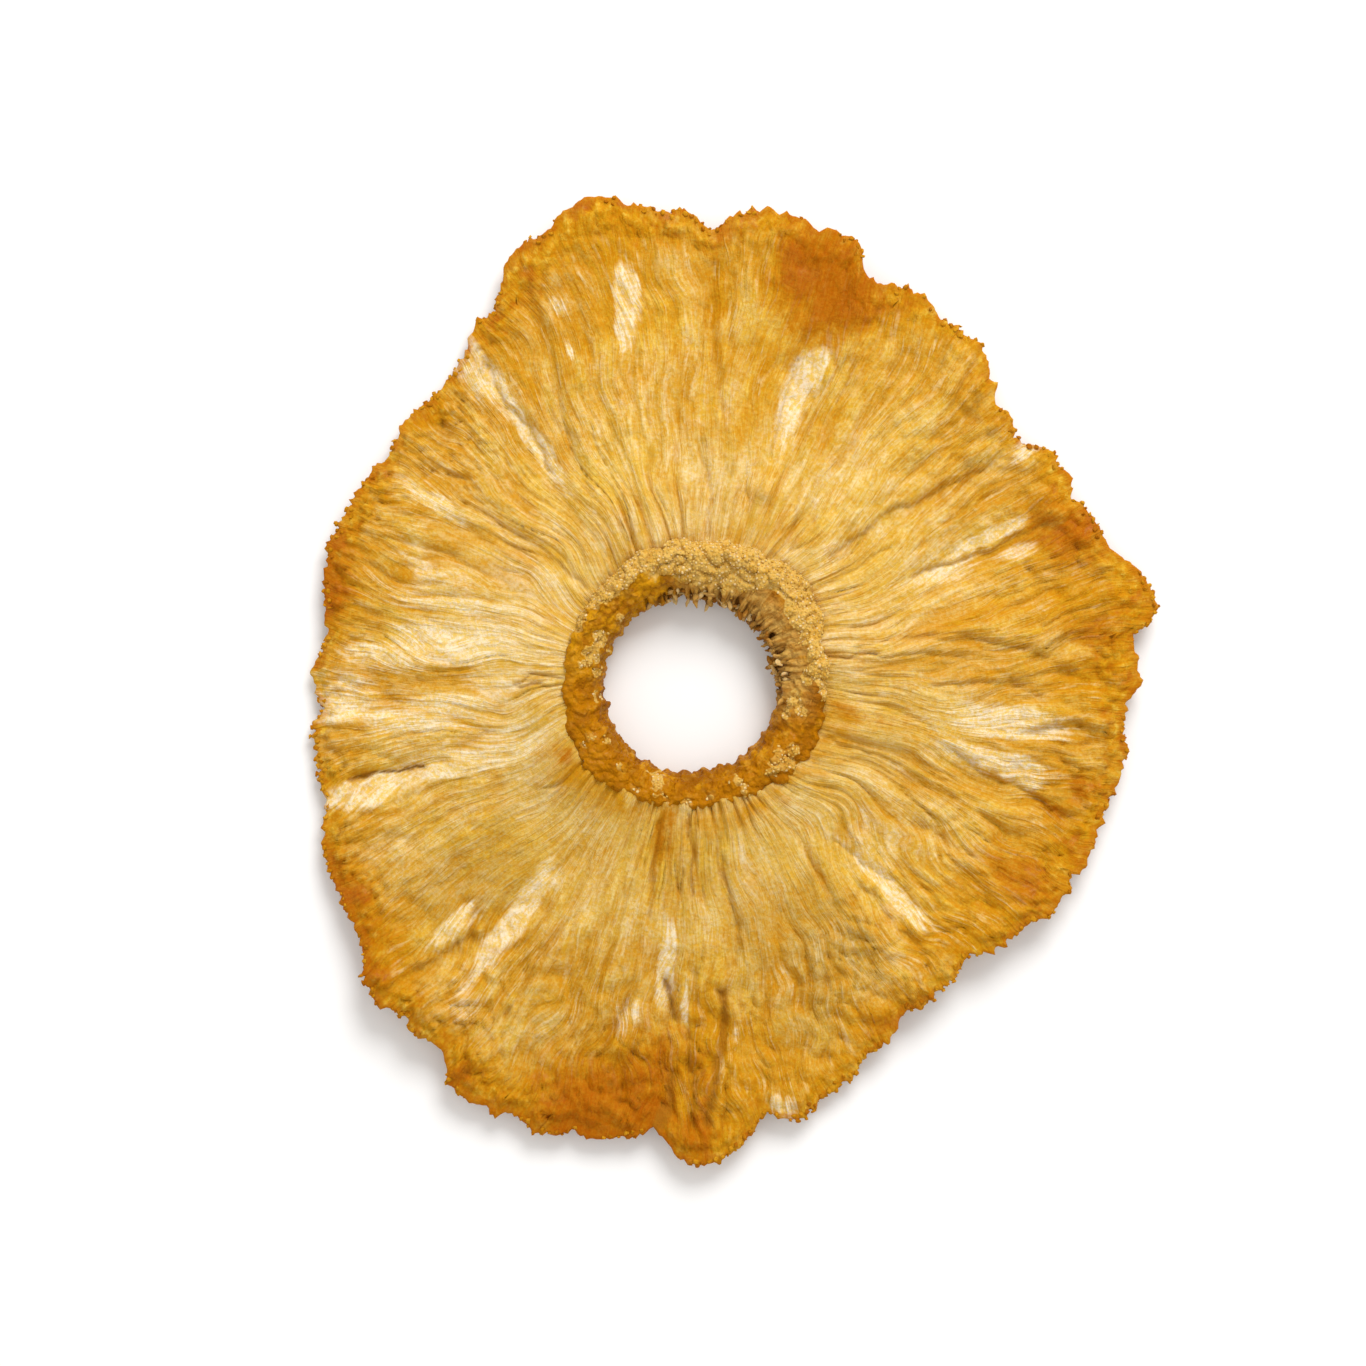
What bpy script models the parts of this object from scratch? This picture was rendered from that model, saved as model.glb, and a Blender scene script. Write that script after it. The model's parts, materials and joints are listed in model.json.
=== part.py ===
"""A dried pineapple ring, lying on z = 0 with its better face up.

One leathery slice with a corer's hole: a crusty collar stands round the hole, radial pleats run
out from it, and the thin rim is scalloped by the fruit's eyes. Metres, +Z up; in plan, +Y is the
far side of the ring and +X its right-hand side. Angles run anticlockwise from +X.
"""

import math

import bmesh
import bpy
import numpy as np

MM = 0.001
FULL_TURN = 2 * math.pi

# The scalloped rim. Each eye of the fruit is the angle and radius of the notch where it begins, and
# the angle and radius of its crest, in degrees and millimetres from the middle of the hole.
EYES = (
    (5.5, 44.7, 9.5, 47.4),
    (16.5, 44.5, 19.0, 43.9),
    (25.5, 42.5, 30.0, 42.9),
    (36.6, 40.3, 39.5, 41.3),
    (43.2, 41.9, 52.0, 44.3),
    (55.8, 44.0, 60.0, 45.0),
    (67.0, 43.7, 70.4, 47.4),
    (74.0, 46.7, 81.5, 48.0),
    (87.8, 45.0, 93.5, 47.2),
    (97.0, 48.0, 102.0, 49.7),
    (104.0, 49.3, 106.6, 49.2),
    (108.1, 47.3, 110.0, 47.3),
    (118.2, 42.2, 120.8, 42.2),
    (122.5, 41.4, 131.0, 38.9),
    (133.5, 38.8, 137.5, 39.1),
    (143.0, 38.1, 158.0, 39.2),
    (172.5, 37.2, 179.0, 38.4),
    (183.3, 37.7, 190.0, 38.8),
    (198.0, 39.0, 211.0, 41.8),
    (220.0, 43.3, 224.3, 45.4),
    (228.7, 44.6, 232.5, 45.1),
    (236.2, 44.5, 240.0, 48.1),
    (247.0, 47.5, 250.8, 48.1),
    (255.2, 46.9, 257.0, 47.0),
    (265.2, 45.5, 270.0, 48.8),
    (279.9, 43.6, 283.0, 45.6),
    (288.0, 43.5, 289.7, 43.3),
    (294.0, 41.4, 295.5, 41.5),
    (302.0, 39.6, 309.0, 40.0),
    (314.9, 39.1, 321.5, 41.2),
    (324.0, 41.6, 329.5, 43.4),
    (332.5, 42.8, 336.0, 43.6),
    (342.5, 43.3, 347.0, 44.0),
    (357.2, 43.4, 358.7, 44.9),
)

# How far the rim curls up off the tray as it dries: angle, height and half-width of each curl
RIM_CURLS = (
    (4.0, 1.3, 20.0),
    (44.0, 0.9, 14.0),
    (71.0, 2.2, 13.0),
    (104.0, 1.7, 17.0),
    (158.0, 1.0, 20.0),
    (226.0, 2.4, 19.0),
    (270.0, 1.4, 15.0),
    (318.0, 2.6, 24.0),
)

# Spindle-shaped hollows left by the seed pockets, each pointing at the hole:
# angle and radius of its middle, length along the radius, width across and depth
POCKETS = (
    (22.0, 30.5, 13.0, 4.5, 0.9),
    (69.0, 29.5, 15.0, 4.0, 1.0),
    (100.5, 38.5, 9.5, 3.4, 0.5),
    (125.0, 30.0, 16.0, 4.4, 0.8),
    (199.0, 31.5, 11.0, 3.6, 0.6),
    (233.0, 29.0, 14.0, 3.6, 0.6),
    (266.0, 32.0, 13.0, 4.2, 0.9),
    (313.5, 29.0, 13.0, 3.6, 0.6),
    (342.5, 32.0, 12.0, 4.0, 0.7),
    (353.5, 32.5, 10.0, 3.2, 0.5),
)

HOLE_RADIUS = 8.6 * MM
HOLE_SWAY = 0.65 * MM  # the hole is wider towards HOLE_SWAY_ANGLE
HOLE_SWAY_ANGLE = math.radians(235.0)
FRILL_DEPTH = 0.35 * MM
FRILL_TEETH = (31, 47)

COLLAR_RADIUS = 13.45 * MM
COLLAR_SWAY = 0.65 * MM  # the collar is a little wider along COLLAR_SWAY_ANGLE than across it
COLLAR_LEAN = 0.35 * MM  # and reaches further on that side than on the other
COLLAR_SWAY_ANGLE = math.radians(60.0)
COLLAR_HEIGHT = 6.3 * MM
COLLAR_LUMP = 0.35 * MM
CRUST_LUMP = 0.2 * MM  # finer lumps of the crust, on top of the collar's own
WALL_LIFT = 0.25 * MM  # the hole's lower edge stands this far above the flesh's underside
WALL_HEIGHTS = (0.0, 1.5 * MM, 3.1 * MM)
WALL_FLARES = (0.55 * MM, 0.0, 0.35 * MM)  # how much wider the hole is at WALL_HEIGHTS

FLESH_THICKNESS = 4.4 * MM  # beside the collar
RIM_THICKNESS = 1.9 * MM
THICKNESS_FALL = 0.75  # how early the flesh thins on its way to the rim
UNDERSIDE_SAG = 0.5 * MM  # how far the underside would dip below the tray if it weren't pressed flat
CENTRE_LIFT = 0.9 * MM
UNDERSIDE_RIPPLE = 0.25 * MM
CURL_START = 0.35  # share of the flesh's width, from the collar, where a curl begins

PLEATS = 46
PLEAT_HEIGHT = (0.25 * MM, 0.6 * MM)
PLEAT_HALF_WIDTH = (math.radians(1.9), math.radians(3.2))
PLEAT_DRIFT = 0.07  # how far, in radians, a pleat leans on its way out
PLEAT_STARTS = (-0.1, 0.35)  # where pleats begin and end, as shares of the flesh's width
PLEAT_ENDS = (0.6, 1.1)
EYE_CREASE_DEPTH = 0.55 * MM
EYE_CREASE_HALF_WIDTH = math.radians(2.2)
PLEAT_SEED = 7

# The mesh: sections round the ring, and the points of each section as shares of a width
WIDEST_STEP = math.radians(2.3)
COLLAR_SHARES = (0.2, 0.46, 0.74)
COLLAR_HEIGHTS = (0.76, 0.93, 1.0)  # at COLLAR_SHARES, from the hole outwards
FLESH_SHARES = (0.0, 0.1, 0.22, 0.35, 0.48, 0.61, 0.74, 0.86, 0.96)
UNDERSIDE_SHARES = (0.96, 0.8, 0.6, 0.4, 0.2, 0.0)
RIM_EDGE_HEIGHT = 0.45  # where the rim reaches furthest out, as a share of its thickness

FLESH_COLOUR = (0.72, 0.42, 0.09, 1.0)
FLESH_ROUGHNESS = 0.55


def clear_scene():
    for obj in list(bpy.data.objects):
        bpy.data.objects.remove(obj, do_unlink=True)


def turned(angle):
    """An angle, or an array of angles, brought into the range from -pi to pi."""
    return (angle + math.pi) % FULL_TURN - math.pi


def bell(distance, half_width):
    return np.exp(-((distance / half_width) ** 2))


def smooth_step(value):
    value = np.clip(value, 0.0, 1.0)
    return value * value * (3 - 2 * value)


def section_angles():
    """Angles of the sections: one at each notch and crest of the rim, and even steps between."""
    corners = sorted(math.radians(degrees) for eye in EYES for degrees in (eye[0], eye[2]))
    angles = []
    for start, end in zip(corners, corners[1:] + [corners[0] + FULL_TURN]):
        steps = math.ceil((end - start) / WIDEST_STEP)
        angles.extend(np.linspace(start, end, steps, endpoint=False))
    return np.array(angles)


def rim_radius(angle):
    """Radius of the scalloped rim: each eye rises steeply from its notch and is round at its crest."""
    degrees = math.degrees(angle) % 360.0
    for index, (notch, notch_radius, crest, crest_radius) in enumerate(EYES):
        end, end_radius = EYES[(index + 1) % len(EYES)][:2]
        end += 360.0 * (index + 1 == len(EYES))
        here = degrees + 360.0 * (degrees < EYES[0][0] - 1e-6)
        if notch - 1e-6 <= here < crest:
            rise = math.sin(math.pi / 2 * (here - notch) / (crest - notch))
            return MM * (notch_radius + (crest_radius - notch_radius) * rise)
        if crest <= here < end:
            fall = 1 - math.cos(math.pi / 2 * (here - crest) / (end - crest))
            return MM * (crest_radius + (end_radius - crest_radius) * fall)
    raise ValueError(f"no eye of the rim covers {degrees} degrees")


def hole_radius(angles):
    """Radius of the cored hole, whose edge is frilled where the core's fibres were cut."""
    frill = sum(np.sin(teeth * angles + teeth) for teeth in FRILL_TEETH) / len(FRILL_TEETH)
    return HOLE_RADIUS + HOLE_SWAY * np.cos(angles - HOLE_SWAY_ANGLE) + FRILL_DEPTH * frill


def collar_radius(angles):
    """Outer radius of the crusty collar round the hole."""
    away = angles - COLLAR_SWAY_ANGLE
    return COLLAR_RADIUS + COLLAR_SWAY * np.cos(2 * away) + COLLAR_LEAN * np.cos(away)


def collar_lumps(angles):
    """Uneven height of the collar's crest."""
    waves = np.sin(5 * angles + 0.6) + 0.6 * np.sin(13 * angles) + 0.4 * np.sin(29 * angles)
    return COLLAR_LUMP * waves / 2


def underside(angles, share):
    """Height of the underside, which the tray presses flat where it would sag below z = 0."""
    curl = sum(
        height * MM * bell(turned(angles - math.radians(middle)), math.radians(half_width))
        for middle, height, half_width in RIM_CURLS
    )
    outward = smooth_step((share - CURL_START) / (1 - CURL_START))
    arch = CENTRE_LIFT * (1 - smooth_step(share / CURL_START))
    ripple = UNDERSIDE_RIPPLE * np.sin(9 * angles + 4 * share) * np.sin(5 * angles + 1.0)
    return np.maximum(curl * outward + arch + ripple - UNDERSIDE_SAG * (1 - outward), 0.0)


def thickness(angles, share):
    """Thickness of the flesh, falling from the collar to the rim and a little uneven round the ring."""
    fall = smooth_step(share) ** THICKNESS_FALL
    uneven = 1 + 0.08 * np.sin(4 * angles + 1.3) + 0.05 * np.sin(7 * angles + 3 * share)
    return (FLESH_THICKNESS + (RIM_THICKNESS - FLESH_THICKNESS) * fall) * uneven


def random_pleats():
    """Radial pleats, each with its angle, drift, height, half-width and reach along the flesh."""
    draw = np.random.default_rng(PLEAT_SEED)
    pleats = []
    for index in range(PLEATS):
        pleats.append(
            {
                "angle": FULL_TURN * (index + draw.uniform(0.15, 0.85)) / PLEATS,
                "drift": draw.uniform(-PLEAT_DRIFT, PLEAT_DRIFT),
                "height": draw.uniform(*PLEAT_HEIGHT),
                "half_width": draw.uniform(*PLEAT_HALF_WIDTH),
                "start": draw.uniform(*PLEAT_STARTS),
                "end": draw.uniform(*PLEAT_ENDS),
            }
        )
    return pleats


def pleat_relief(angles, share, pleats):
    relief = np.zeros_like(angles)
    for pleat in pleats:
        away = turned(angles - pleat["angle"] - pleat["drift"] * share)
        along = smooth_step((share - pleat["start"]) / 0.2) * smooth_step((pleat["end"] - share) / 0.2)
        relief += pleat["height"] * along * bell(away, pleat["half_width"])
    return relief


def eye_creases(angles, share):
    """Creases that run inwards from the rim's notches, between one eye and the next."""
    relief = np.zeros_like(angles)
    reach = smooth_step((share - 0.4) / 0.4)
    for notch, *_ in EYES:
        away = turned(angles - math.radians(notch))
        relief -= EYE_CREASE_DEPTH * reach * bell(away, EYE_CREASE_HALF_WIDTH)
    return relief


def pocket_hollows(angles, radii):
    relief = np.zeros_like(angles)
    for degrees, radius, length, width, depth in POCKETS:
        across = turned(angles - math.radians(degrees)) * radii
        along = radii - radius * MM
        relief -= depth * MM * bell(along, length * MM / 2) * bell(across, width * MM / 2)
    return relief


def section_rings(angles):
    """The ring's surface as closed loops round the hole, from the hole's lower edge up over the
    collar, out along the top, round the rim and back underneath: radii and heights of each loop."""
    rim = np.array([rim_radius(angle) for angle in angles])
    hole = hole_radius(angles)
    collar = collar_radius(angles)
    pleats = random_pleats()
    foot = underside(angles, 0.0)
    shoulder = thickness(angles, 0.0) + foot
    crest = COLLAR_HEIGHT + collar_lumps(angles)

    rings = []
    for flare, height in zip(WALL_FLARES, WALL_HEIGHTS):
        rings.append((hole + flare, foot + WALL_LIFT + height))
    for share, height in zip(COLLAR_SHARES, COLLAR_HEIGHTS):
        lumps = CRUST_LUMP * np.sin(17 * angles + 9 * share) * np.sin(23 * angles)
        rings.append((hole + (collar - hole) * share, crest * height + lumps))
    for share in FLESH_SHARES:
        radii = collar + (rim - collar) * share
        fade = smooth_step(share / 0.1) * smooth_step((1.04 - share) / 0.2)
        relief = pleat_relief(angles, share, pleats) + eye_creases(angles, share)
        relief += pocket_hollows(angles, radii)
        top = underside(angles, share) + thickness(angles, share) + relief * fade
        rings.append((radii, shoulder if share == 0.0 else top))
    rings.append((rim, underside(angles, 1.0) + RIM_EDGE_HEIGHT * thickness(angles, 1.0)))
    for share in UNDERSIDE_SHARES:
        rings.append((collar + (rim - collar) * share, underside(angles, share)))
    return rings


def ring_mesh():
    angles = section_angles()
    mesh = bmesh.new()
    loops = []
    for radii, heights in section_rings(angles):
        loops.append(
            [
                mesh.verts.new((radius * math.cos(angle), radius * math.sin(angle), height))
                for angle, radius, height in zip(angles, radii, heights)
            ]
        )
    for inner, outer in zip(loops, loops[1:] + loops[:1]):
        for index in range(len(angles)):
            after = (index + 1) % len(angles)
            mesh.faces.new((inner[index], outer[index], outer[after], inner[after]))
    bmesh.ops.recalc_face_normals(mesh, faces=mesh.faces)
    return mesh


def centre_over_origin(mesh):
    """Moves the ring so that the middle of its outline is over the origin, and its lowest point at z = 0."""
    corners = np.array([vert.co for vert in mesh.verts])
    low, high = corners.min(axis=0), corners.max(axis=0)
    shift = (-(low[0] + high[0]) / 2, -(low[1] + high[1]) / 2, -low[2])
    bmesh.ops.translate(mesh, verts=mesh.verts, vec=shift)
    return shift


def flesh_material():
    material = bpy.data.materials.new("dried_flesh")
    material.use_nodes = True
    shader = material.node_tree.nodes["Principled BSDF"]
    shader.inputs["Base Color"].default_value = FLESH_COLOUR
    shader.inputs["Roughness"].default_value = FLESH_ROUGHNESS
    shader.inputs["Metallic"].default_value = 0.0
    return material


def pineapple_ring():
    shape = ring_mesh()
    centre_over_origin(shape)
    data = bpy.data.meshes.new("pineapple_ring")
    shape.to_mesh(data)
    shape.free()
    data.shade_smooth()
    data.materials.append(flesh_material())
    ring = bpy.data.objects.new("pineapple_ring", data)
    bpy.context.scene.collection.objects.link(ring)
    return ring


def main():
    clear_scene()
    pineapple_ring()


main()
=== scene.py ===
"""The looks of a dried pineapple ring: a slice of fruit, cored and dried to a leathery disc.

The frame's solid gives the ring its form. The dressed ring is a finer skin over that form, with folds,
fibres and a crumbly rim. A crust of granules, a fringe of core fibres and loose crumbs grow on it.
Places on the ring are in millimetres from the middle of the cored hole, +X to the right, +Y away.
"""
import itertools
import json
import math

import bpy
import numpy as np
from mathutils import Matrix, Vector
from mathutils.bvhtree import BVHTree


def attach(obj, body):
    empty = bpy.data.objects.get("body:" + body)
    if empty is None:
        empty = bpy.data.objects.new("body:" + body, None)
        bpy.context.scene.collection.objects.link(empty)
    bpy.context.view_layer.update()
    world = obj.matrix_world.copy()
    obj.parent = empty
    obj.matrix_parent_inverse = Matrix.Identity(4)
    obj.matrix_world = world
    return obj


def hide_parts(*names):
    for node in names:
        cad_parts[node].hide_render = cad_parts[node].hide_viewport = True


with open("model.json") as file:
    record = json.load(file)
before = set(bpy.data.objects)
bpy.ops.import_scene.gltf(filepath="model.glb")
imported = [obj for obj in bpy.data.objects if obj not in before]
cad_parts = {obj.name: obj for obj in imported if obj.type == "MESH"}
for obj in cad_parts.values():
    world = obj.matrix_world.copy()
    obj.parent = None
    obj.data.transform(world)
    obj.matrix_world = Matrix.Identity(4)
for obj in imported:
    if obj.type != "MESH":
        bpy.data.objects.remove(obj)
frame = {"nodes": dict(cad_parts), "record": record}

bl_info = {
    "name": "Dried pineapple ring",
    "version": (1, 0, 0),
    "blender": (4, 5, 0),
    "location": "3D View > Sidebar > Pineapple",
    "description": "Dresses the solid of a dried pineapple ring with folds, fibres, crust and crumbs",
    "category": "Add Mesh",
}

MM = 0.001
FULL_TURN = 2 * math.pi
RING = "pineapple_ring"
BODY = "root"
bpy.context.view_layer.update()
HOLE_BOX = frame["record"]["physics"]["openings"][0]["box_m"]
CORE = [(HOLE_BOX[0][axis] + HOLE_BOX[1][axis]) / 2 for axis in (0, 1)]

# The skin's grid: sections round the ring, and rows over the top, round the rim, underneath and up the hole
SECTIONS = 900
ANGLES = np.arange(SECTIONS) * FULL_TURN / SECTIONS
TOP_ROWS = 92
HIDDEN_ROWS = 4
RIM_ROWS = 4
UNDER_ROWS = 8
INNER_ROWS = 2
RIM_ROUNDING = 0.45  # how far the rounded lip of the rim stands out
THINNEST = 0.6  # the least thickness of the flesh
TUCK = 0.8  # how far in under the collar's edge the closely spaced rows of the flesh begin
BEHIND = 1.0  # how far behind the wall of the hole the flesh's inner face stands

# The collar's grid: rows up the wall of the hole and over the collar's top
WALL_ROWS = 20
COLLAR_ROWS = 51
COLLAR_LEVEL = 5.85  # height, in mm, of the collar's outer side where it runs flush into the flesh

# Where the solid's edges and heights are looked for: radii in mm in the hole, in the collar, in the flesh
# and outside the rim, and how far from its edges its heights are read
NARROWEST, IN_COLLAR, IN_FLESH, WIDEST = 5.0, 11.0, 34.0, 54.0
INSET = 0.05
CLEAR_OF = 0.05  # height, in metres, from which plumb lines are dropped
HALVINGS = 11

SEED_POCKET = 4  # the half-length, in mm, from which fibres part round a cream patch, as at a seed pocket

# The collar's outer edge, and how far in its pale crust reaches: pairs of an angle in degrees and a radius
COLLAR_EDGE = (
    (0, 12.7), (16, 12.9), (28, 13.9), (40, 14.6), (52, 14.1), (75, 13.5), (90, 13.6), (116, 13.2),
    (149, 12.5), (180, 12.5), (200, 13), (218, 13.7), (234, 12.9), (250, 12.7), (265, 12.2), (285, 12.2),
    (310, 12.8), (332, 13.3), (345, 12.9),
)
CRUST_INNER_EDGE = (
    (0, 12.2), (10, 11.4), (30, 11.3), (50, 11.4), (62, 9.9), (76, 9.2), (92, 9.1), (100, 10.6),
    (128, 11.5), (135, 11.2), (142, 12.1), (160, 12.9), (176, 14.2), (192, 15.6), (343, 15.6), (353, 12.9),
)

# How far in from the rim the flesh has browned: pairs of an angle in degrees and a width
RIM_BROWNING = (
    (0, 4.5), (12, 5.5), (25, 4.2), (36, 1.4), (54, 1.6), (62, 4), (75, 4.5), (85, 3.5), (90, 3), (96, 5.5),
    (112, 7), (122, 2.5), (138, 2), (150, 3.5), (162, 3.5), (174, 1), (196, 1), (206, 4.5), (216, 5.5),
    (225, 2.5), (238, 4.5), (258, 8), (268, 7), (276, 2), (290, 2), (308, 1.3), (325, 2.6), (334, 4.2),
    (346, 1.8), (354, 3),
)

# Patches of the surface, each drawn out along the fibres: x, y, half-length, half-width and strength
CREAM = (
    (-6.7, 40.2, 1.8, 0.95, 0.9), (-6.8, 37.4, 2, 1.05, 1), (-6.9, 34.4, 2, 0.8, 0.9),
    (9.9, 28.4, 6.4, 1.1, 0.9), (12.4, 31.2, 4.2, 0.7, 0.9), (-18.5, 27.5, 6.4, 0.9, 0.9),
    (-15, 22.8, 3.4, 0.6, 1), (-22.4, 31, 3.2, 1.6, 0.7), (-26, 17.9, 3.6, 0.8, 0.8),
    (28.8, 14, 4.4, 0.75, 1), (25.2, 10.7, 3.2, 0.75, 0.9), (33.4, 13, 3, 0.9, 0.9),
    (31.7, -4.2, 5.2, 1.5, 1), (29.1, -7.9, 5.2, 1.2, 1), (34.3, -10.8, 3.2, 0.7, 0.9),
    (-30.5, 2.5, 5.2, 1.5, 0.6), (-35.4, -1.8, 3, 2.2, 0.7), (-32.3, -11, 4.6, 1.4, 0.9),
    (-17.7, -23.7, 6.6, 1.2, 1), (-24.3, -25, 2.8, 1.1, 0.7), (-2.8, -28.6, 4.2, 0.8, 0.9),
    (-0.9, -34.4, 4.6, 0.5, 1), (-7, -34.9, 3.2, 1.4, 0.7), (18.8, -20.6, 5.8, 0.4, 0.9),
    (20.8, -21.4, 5, 0.35, 0.8), (4.2, -35.9, 1.5, 0.25, 0.5), (33.7, 23.7, 3, 1.1, 0.7),
    (-16.9, 41.4, 0.8, 0.5, 0.7), (-14, 37.8, 1.1, 0.8, 0.5), (-12.3, 32.9, 1.1, 0.3, 0.8),
    (-15.5, 39.9, 0.5, 0.3, 0.6), (9, -42.8, 1.1, 1.5, 0.65), (9.4, -29.9, 2.2, 0.5, 0.5),
    (16.6, -26.9, 1.6, 0.6, 0.5), (5.8, -19.4, 4, 1.2, 0.35), (15.4, 44.3, 2.3, 0.8, 0.8),
    (-22.7, -32.3, 2.6, 1.6, 0.6), (20.5, -15.5, 4.5, 1.3, 0.5), (-18, 3, 7, 3.5, 0.5),
    (-15.5, 9.5, 6, 2.5, 0.4), (-26, 9.5, 6, 3, 0.45), (-20, -7, 7, 2.6, 0.45), (-26.5, -3.4, 6, 1.8, 0.75),
    (-25, 4.2, 5, 1.4, 0.65), (-24, -8.6, 4, 0.8, 0.5), (-20, -1.2, 4, 1.6, 0.5),
)
AMBER = (
    (-11.3, 45.6, 3.5, 7, 0.9), (-10, 38.5, 7.5, 7.5, 0.6), (-21, 35.7, 2, 2.6, 0.9),
    (-27.4, 27.2, 2.2, 2.4, 1), (-16.5, 28.5, 8, 0.8, 0.7), (6.9, 46.6, 1.8, 3.6, 0.9),
    (6.4, 29.5, 6, 2, 0.7), (2.1, 37.1, 8, 1, 0.7), (25.1, 35, 4, 8, 0.6), (20.9, 39.3, 2.5, 6, 0.7),
    (29.9, 27.2, 3, 2.4, 0.6), (36.9, 17.9, 5.5, 4.5, 0.9), (45.3, 8.9, 2, 3.6, 1),
    (39.3, 8.2, 5, 2.6, 0.7), (30, 6.5, 8, 1, 0.6), (41.4, 3.6, 3, 3, 0.8), (40.3, -0.8, 3.2, 2.2, 0.9),
    (31, 1, 8, 1, 0.6), (38.5, -14.7, 3, 4.5, 0.8), (34.1, -18.6, 4.5, 4, 0.9), (30.9, -23.8, 4, 4, 0.8),
    (26.7, -25.2, 3.5, 3, 0.5), (19.4, -33.4, 2.2, 3.4, 0.9), (14.3, -40.1, 2, 4, 0.7), (8, -40, 3, 5, 0.5),
    (1.7, -39.3, 7, 2.4, 0.9), (0.8, -46.9, 2.4, 3.4, 1), (-5, -39, 5, 4, 0.9), (-10.2, -42.8, 2.4, 2.6, 1),
    (-23.8, -40.2, 2.4, 2, 0.9), (-32.4, -28.6, 2.2, 4, 0.8), (-33, -15, 6, 0.8, 0.8),
    (-36.6, 9.5, 2.6, 5, 0.9), (-28.5, 17, 6, 0.7, 0.8), (-20.5, 14, 5, 0.7, 0.6),
    (-11.6, -9.3, 1.4, 2, 0.8), (-3.4, -14.6, 2.6, 0.8, 0.9), (0.5, -14, 0.8, 2, 0.7),
    (14.8, -4, 2.6, 1.8, 0.8), (-7.4, -12.2, 0.8, 2.2, 0.7), (5.8, -12.6, 0.8, 2, 0.7),
    (9.6, -10, 0.8, 2, 0.6), (12.4, -7, 1, 1.8, 0.6), (22.7, -28, 2.8, 2.4, 0.4), (-27.4, -33.1, 3, 4, 0.4),
    (5, -36.4, 4, 3, 0.5), (-8, -42.4, 4, 4.6, 1), (-32.6, -24, 2.6, 4.5, 0.9), (-18, -42.4, 3, 5.5, 0.8),
)
SCORCH = (
    (13.6, 39.6, 4.6, 3.8, 0.9), (15.6, 38, 2.2, 2.2, 1), (10.9, 42, 2.6, 2.2, 0.9),
    (36.7, 15.6, 3.6, 3, 0.6), (38.4, 14.4, 2, 1.8, 0.7), (40.6, 4.8, 2.2, 1.5, 0.6),
    (36.4, -13.1, 1.6, 0.8, 0.8), (38.8, -11, 1.2, 1.1, 1), (32.2, -19.2, 2.6, 2.2, 0.7),
    (-36.4, 11.5, 1.8, 3, 0.8), (-36.4, 7.7, 1.6, 2, 0.8), (-27.6, 27.4, 1.4, 1.6, 0.6),
    (-3.1, -37.5, 3.6, 2, 0.6), (-6.4, -40.8, 2.6, 2.4, 0.7), (-3.4, -43.8, 1.5, 0.9, 1),
    (-12.5, -44, 1, 4, 0.6), (-23.6, -39.6, 1.5, 1.6, 0.7), (-22.7, -38.8, 0.6, 0.5, 1),
    (1, -42, 4, 0.7, 0.8), (0.6, -46.6, 1.6, 1.6, 0.7), (-3, -14.9, 3, 0.7, 0.6), (15, -3.4, 3, 0.6, 0.6),
    (-32.6, -29, 1.4, 2.4, 0.6), (-12.8, -7.8, 0.8, 0.9, 0.7), (18.6, -34.6, 1.2, 1.8, 0.6),
    (-8.2, -43.2, 3, 3.6, 0.8), (-11.6, -43.4, 1.8, 2.6, 0.8), (-10.8, -40.4, 2.4, 3.2, 0.55),
    (-0.5, -45.6, 1.2, 1.3, 0.7), (-3.5, -43.2, 1.2, 0.7, 0.9), (-35.2, -20.1, 1.4, 2.8, 0.7),
    (36.1, -20.9, 1.4, 3, 0.5), (-33, -24.2, 1.8, 3.4, 0.5), (-18.3, -43.8, 1.4, 4.5, 0.5),
)
ASHEN = (
    (-26.6, -22.6, 8, 4.5, 0.8), (-20.1, -19, 6, 4, 0.7), (-14.9, -31, 6, 5, 0.7),
    (-16.2, -40.2, 4, 4, 0.6), (11.2, -25.2, 7, 5, 0.8), (16.8, -27.5, 3.5, 3, 0.5),
    (9.8, -31.8, 6, 4.5, 0.7), (4, -24, 7, 1.5, 0.5), (-3, -22, 5, 2.5, 0.5), (-30, -9, 6, 2.5, 0.4),
    (23, -14, 6, 2.5, 0.4), (-25.5, 22, 5, 3.5, 0.5), (-12.5, 30.5, 6, 2.5, 0.5), (12, -33.5, 4, 3, 0.5),
    (30.5, 18, 6, 2, 0.4),
)
GOLD = (
    (-27.4, -33.1, 4, 5, 0.8), (22.7, -28, 3.5, 3.5, 0.8), (26.7, -25.2, 4, 4, 0.8), (0.5, -30, 7, 3, 0.7),
    (-20.5, 24.5, 6, 2.5, 0.7), (20.9, 39.3, 4, 6, 0.7), (17, -10, 7, 4, 0.5), (-33, -6, 5, 4, 0.6),
    (9, 22, 6, 2, 0.7), (-6, 46, 2.5, 3, 0.9), (15.5, 43.5, 3, 2.5, 0.9), (38, -9, 5, 4, 0.6),
    (13.5, -36, 4, 4, 0.7), (-14, 20, 5, 2, 0.5), (2, -36, 5, 3, 0.7), (20, 30, 9, 9, 0.7),
    (28, 24, 7, 6, 0.6), (34, 8, 7, 4, 0.6),
)
ROSY = (
    (-13.9, 43.4, 0.7, 0.35, 1), (-16.6, 28.5, 0.7, 0.35, 1), (5.3, -22.1, 3, 1, 0.5), (29, 4, 5, 1, 0.4),
    (-33.3, 0.7, 3, 0.5, 0.6), (18, 8, 4, 1, 0.3), (-26, 20, 2.5, 1.5, 0.4), (38, -12, 3, 0.6, 0.4),
    (0.5, 28, 7, 1, 0.3), (-13, 26, 6, 0.8, 0.4), (20, 16, 6, 0.8, 0.35), (3.5, 33, 7, 0.8, 0.35),
)

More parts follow.
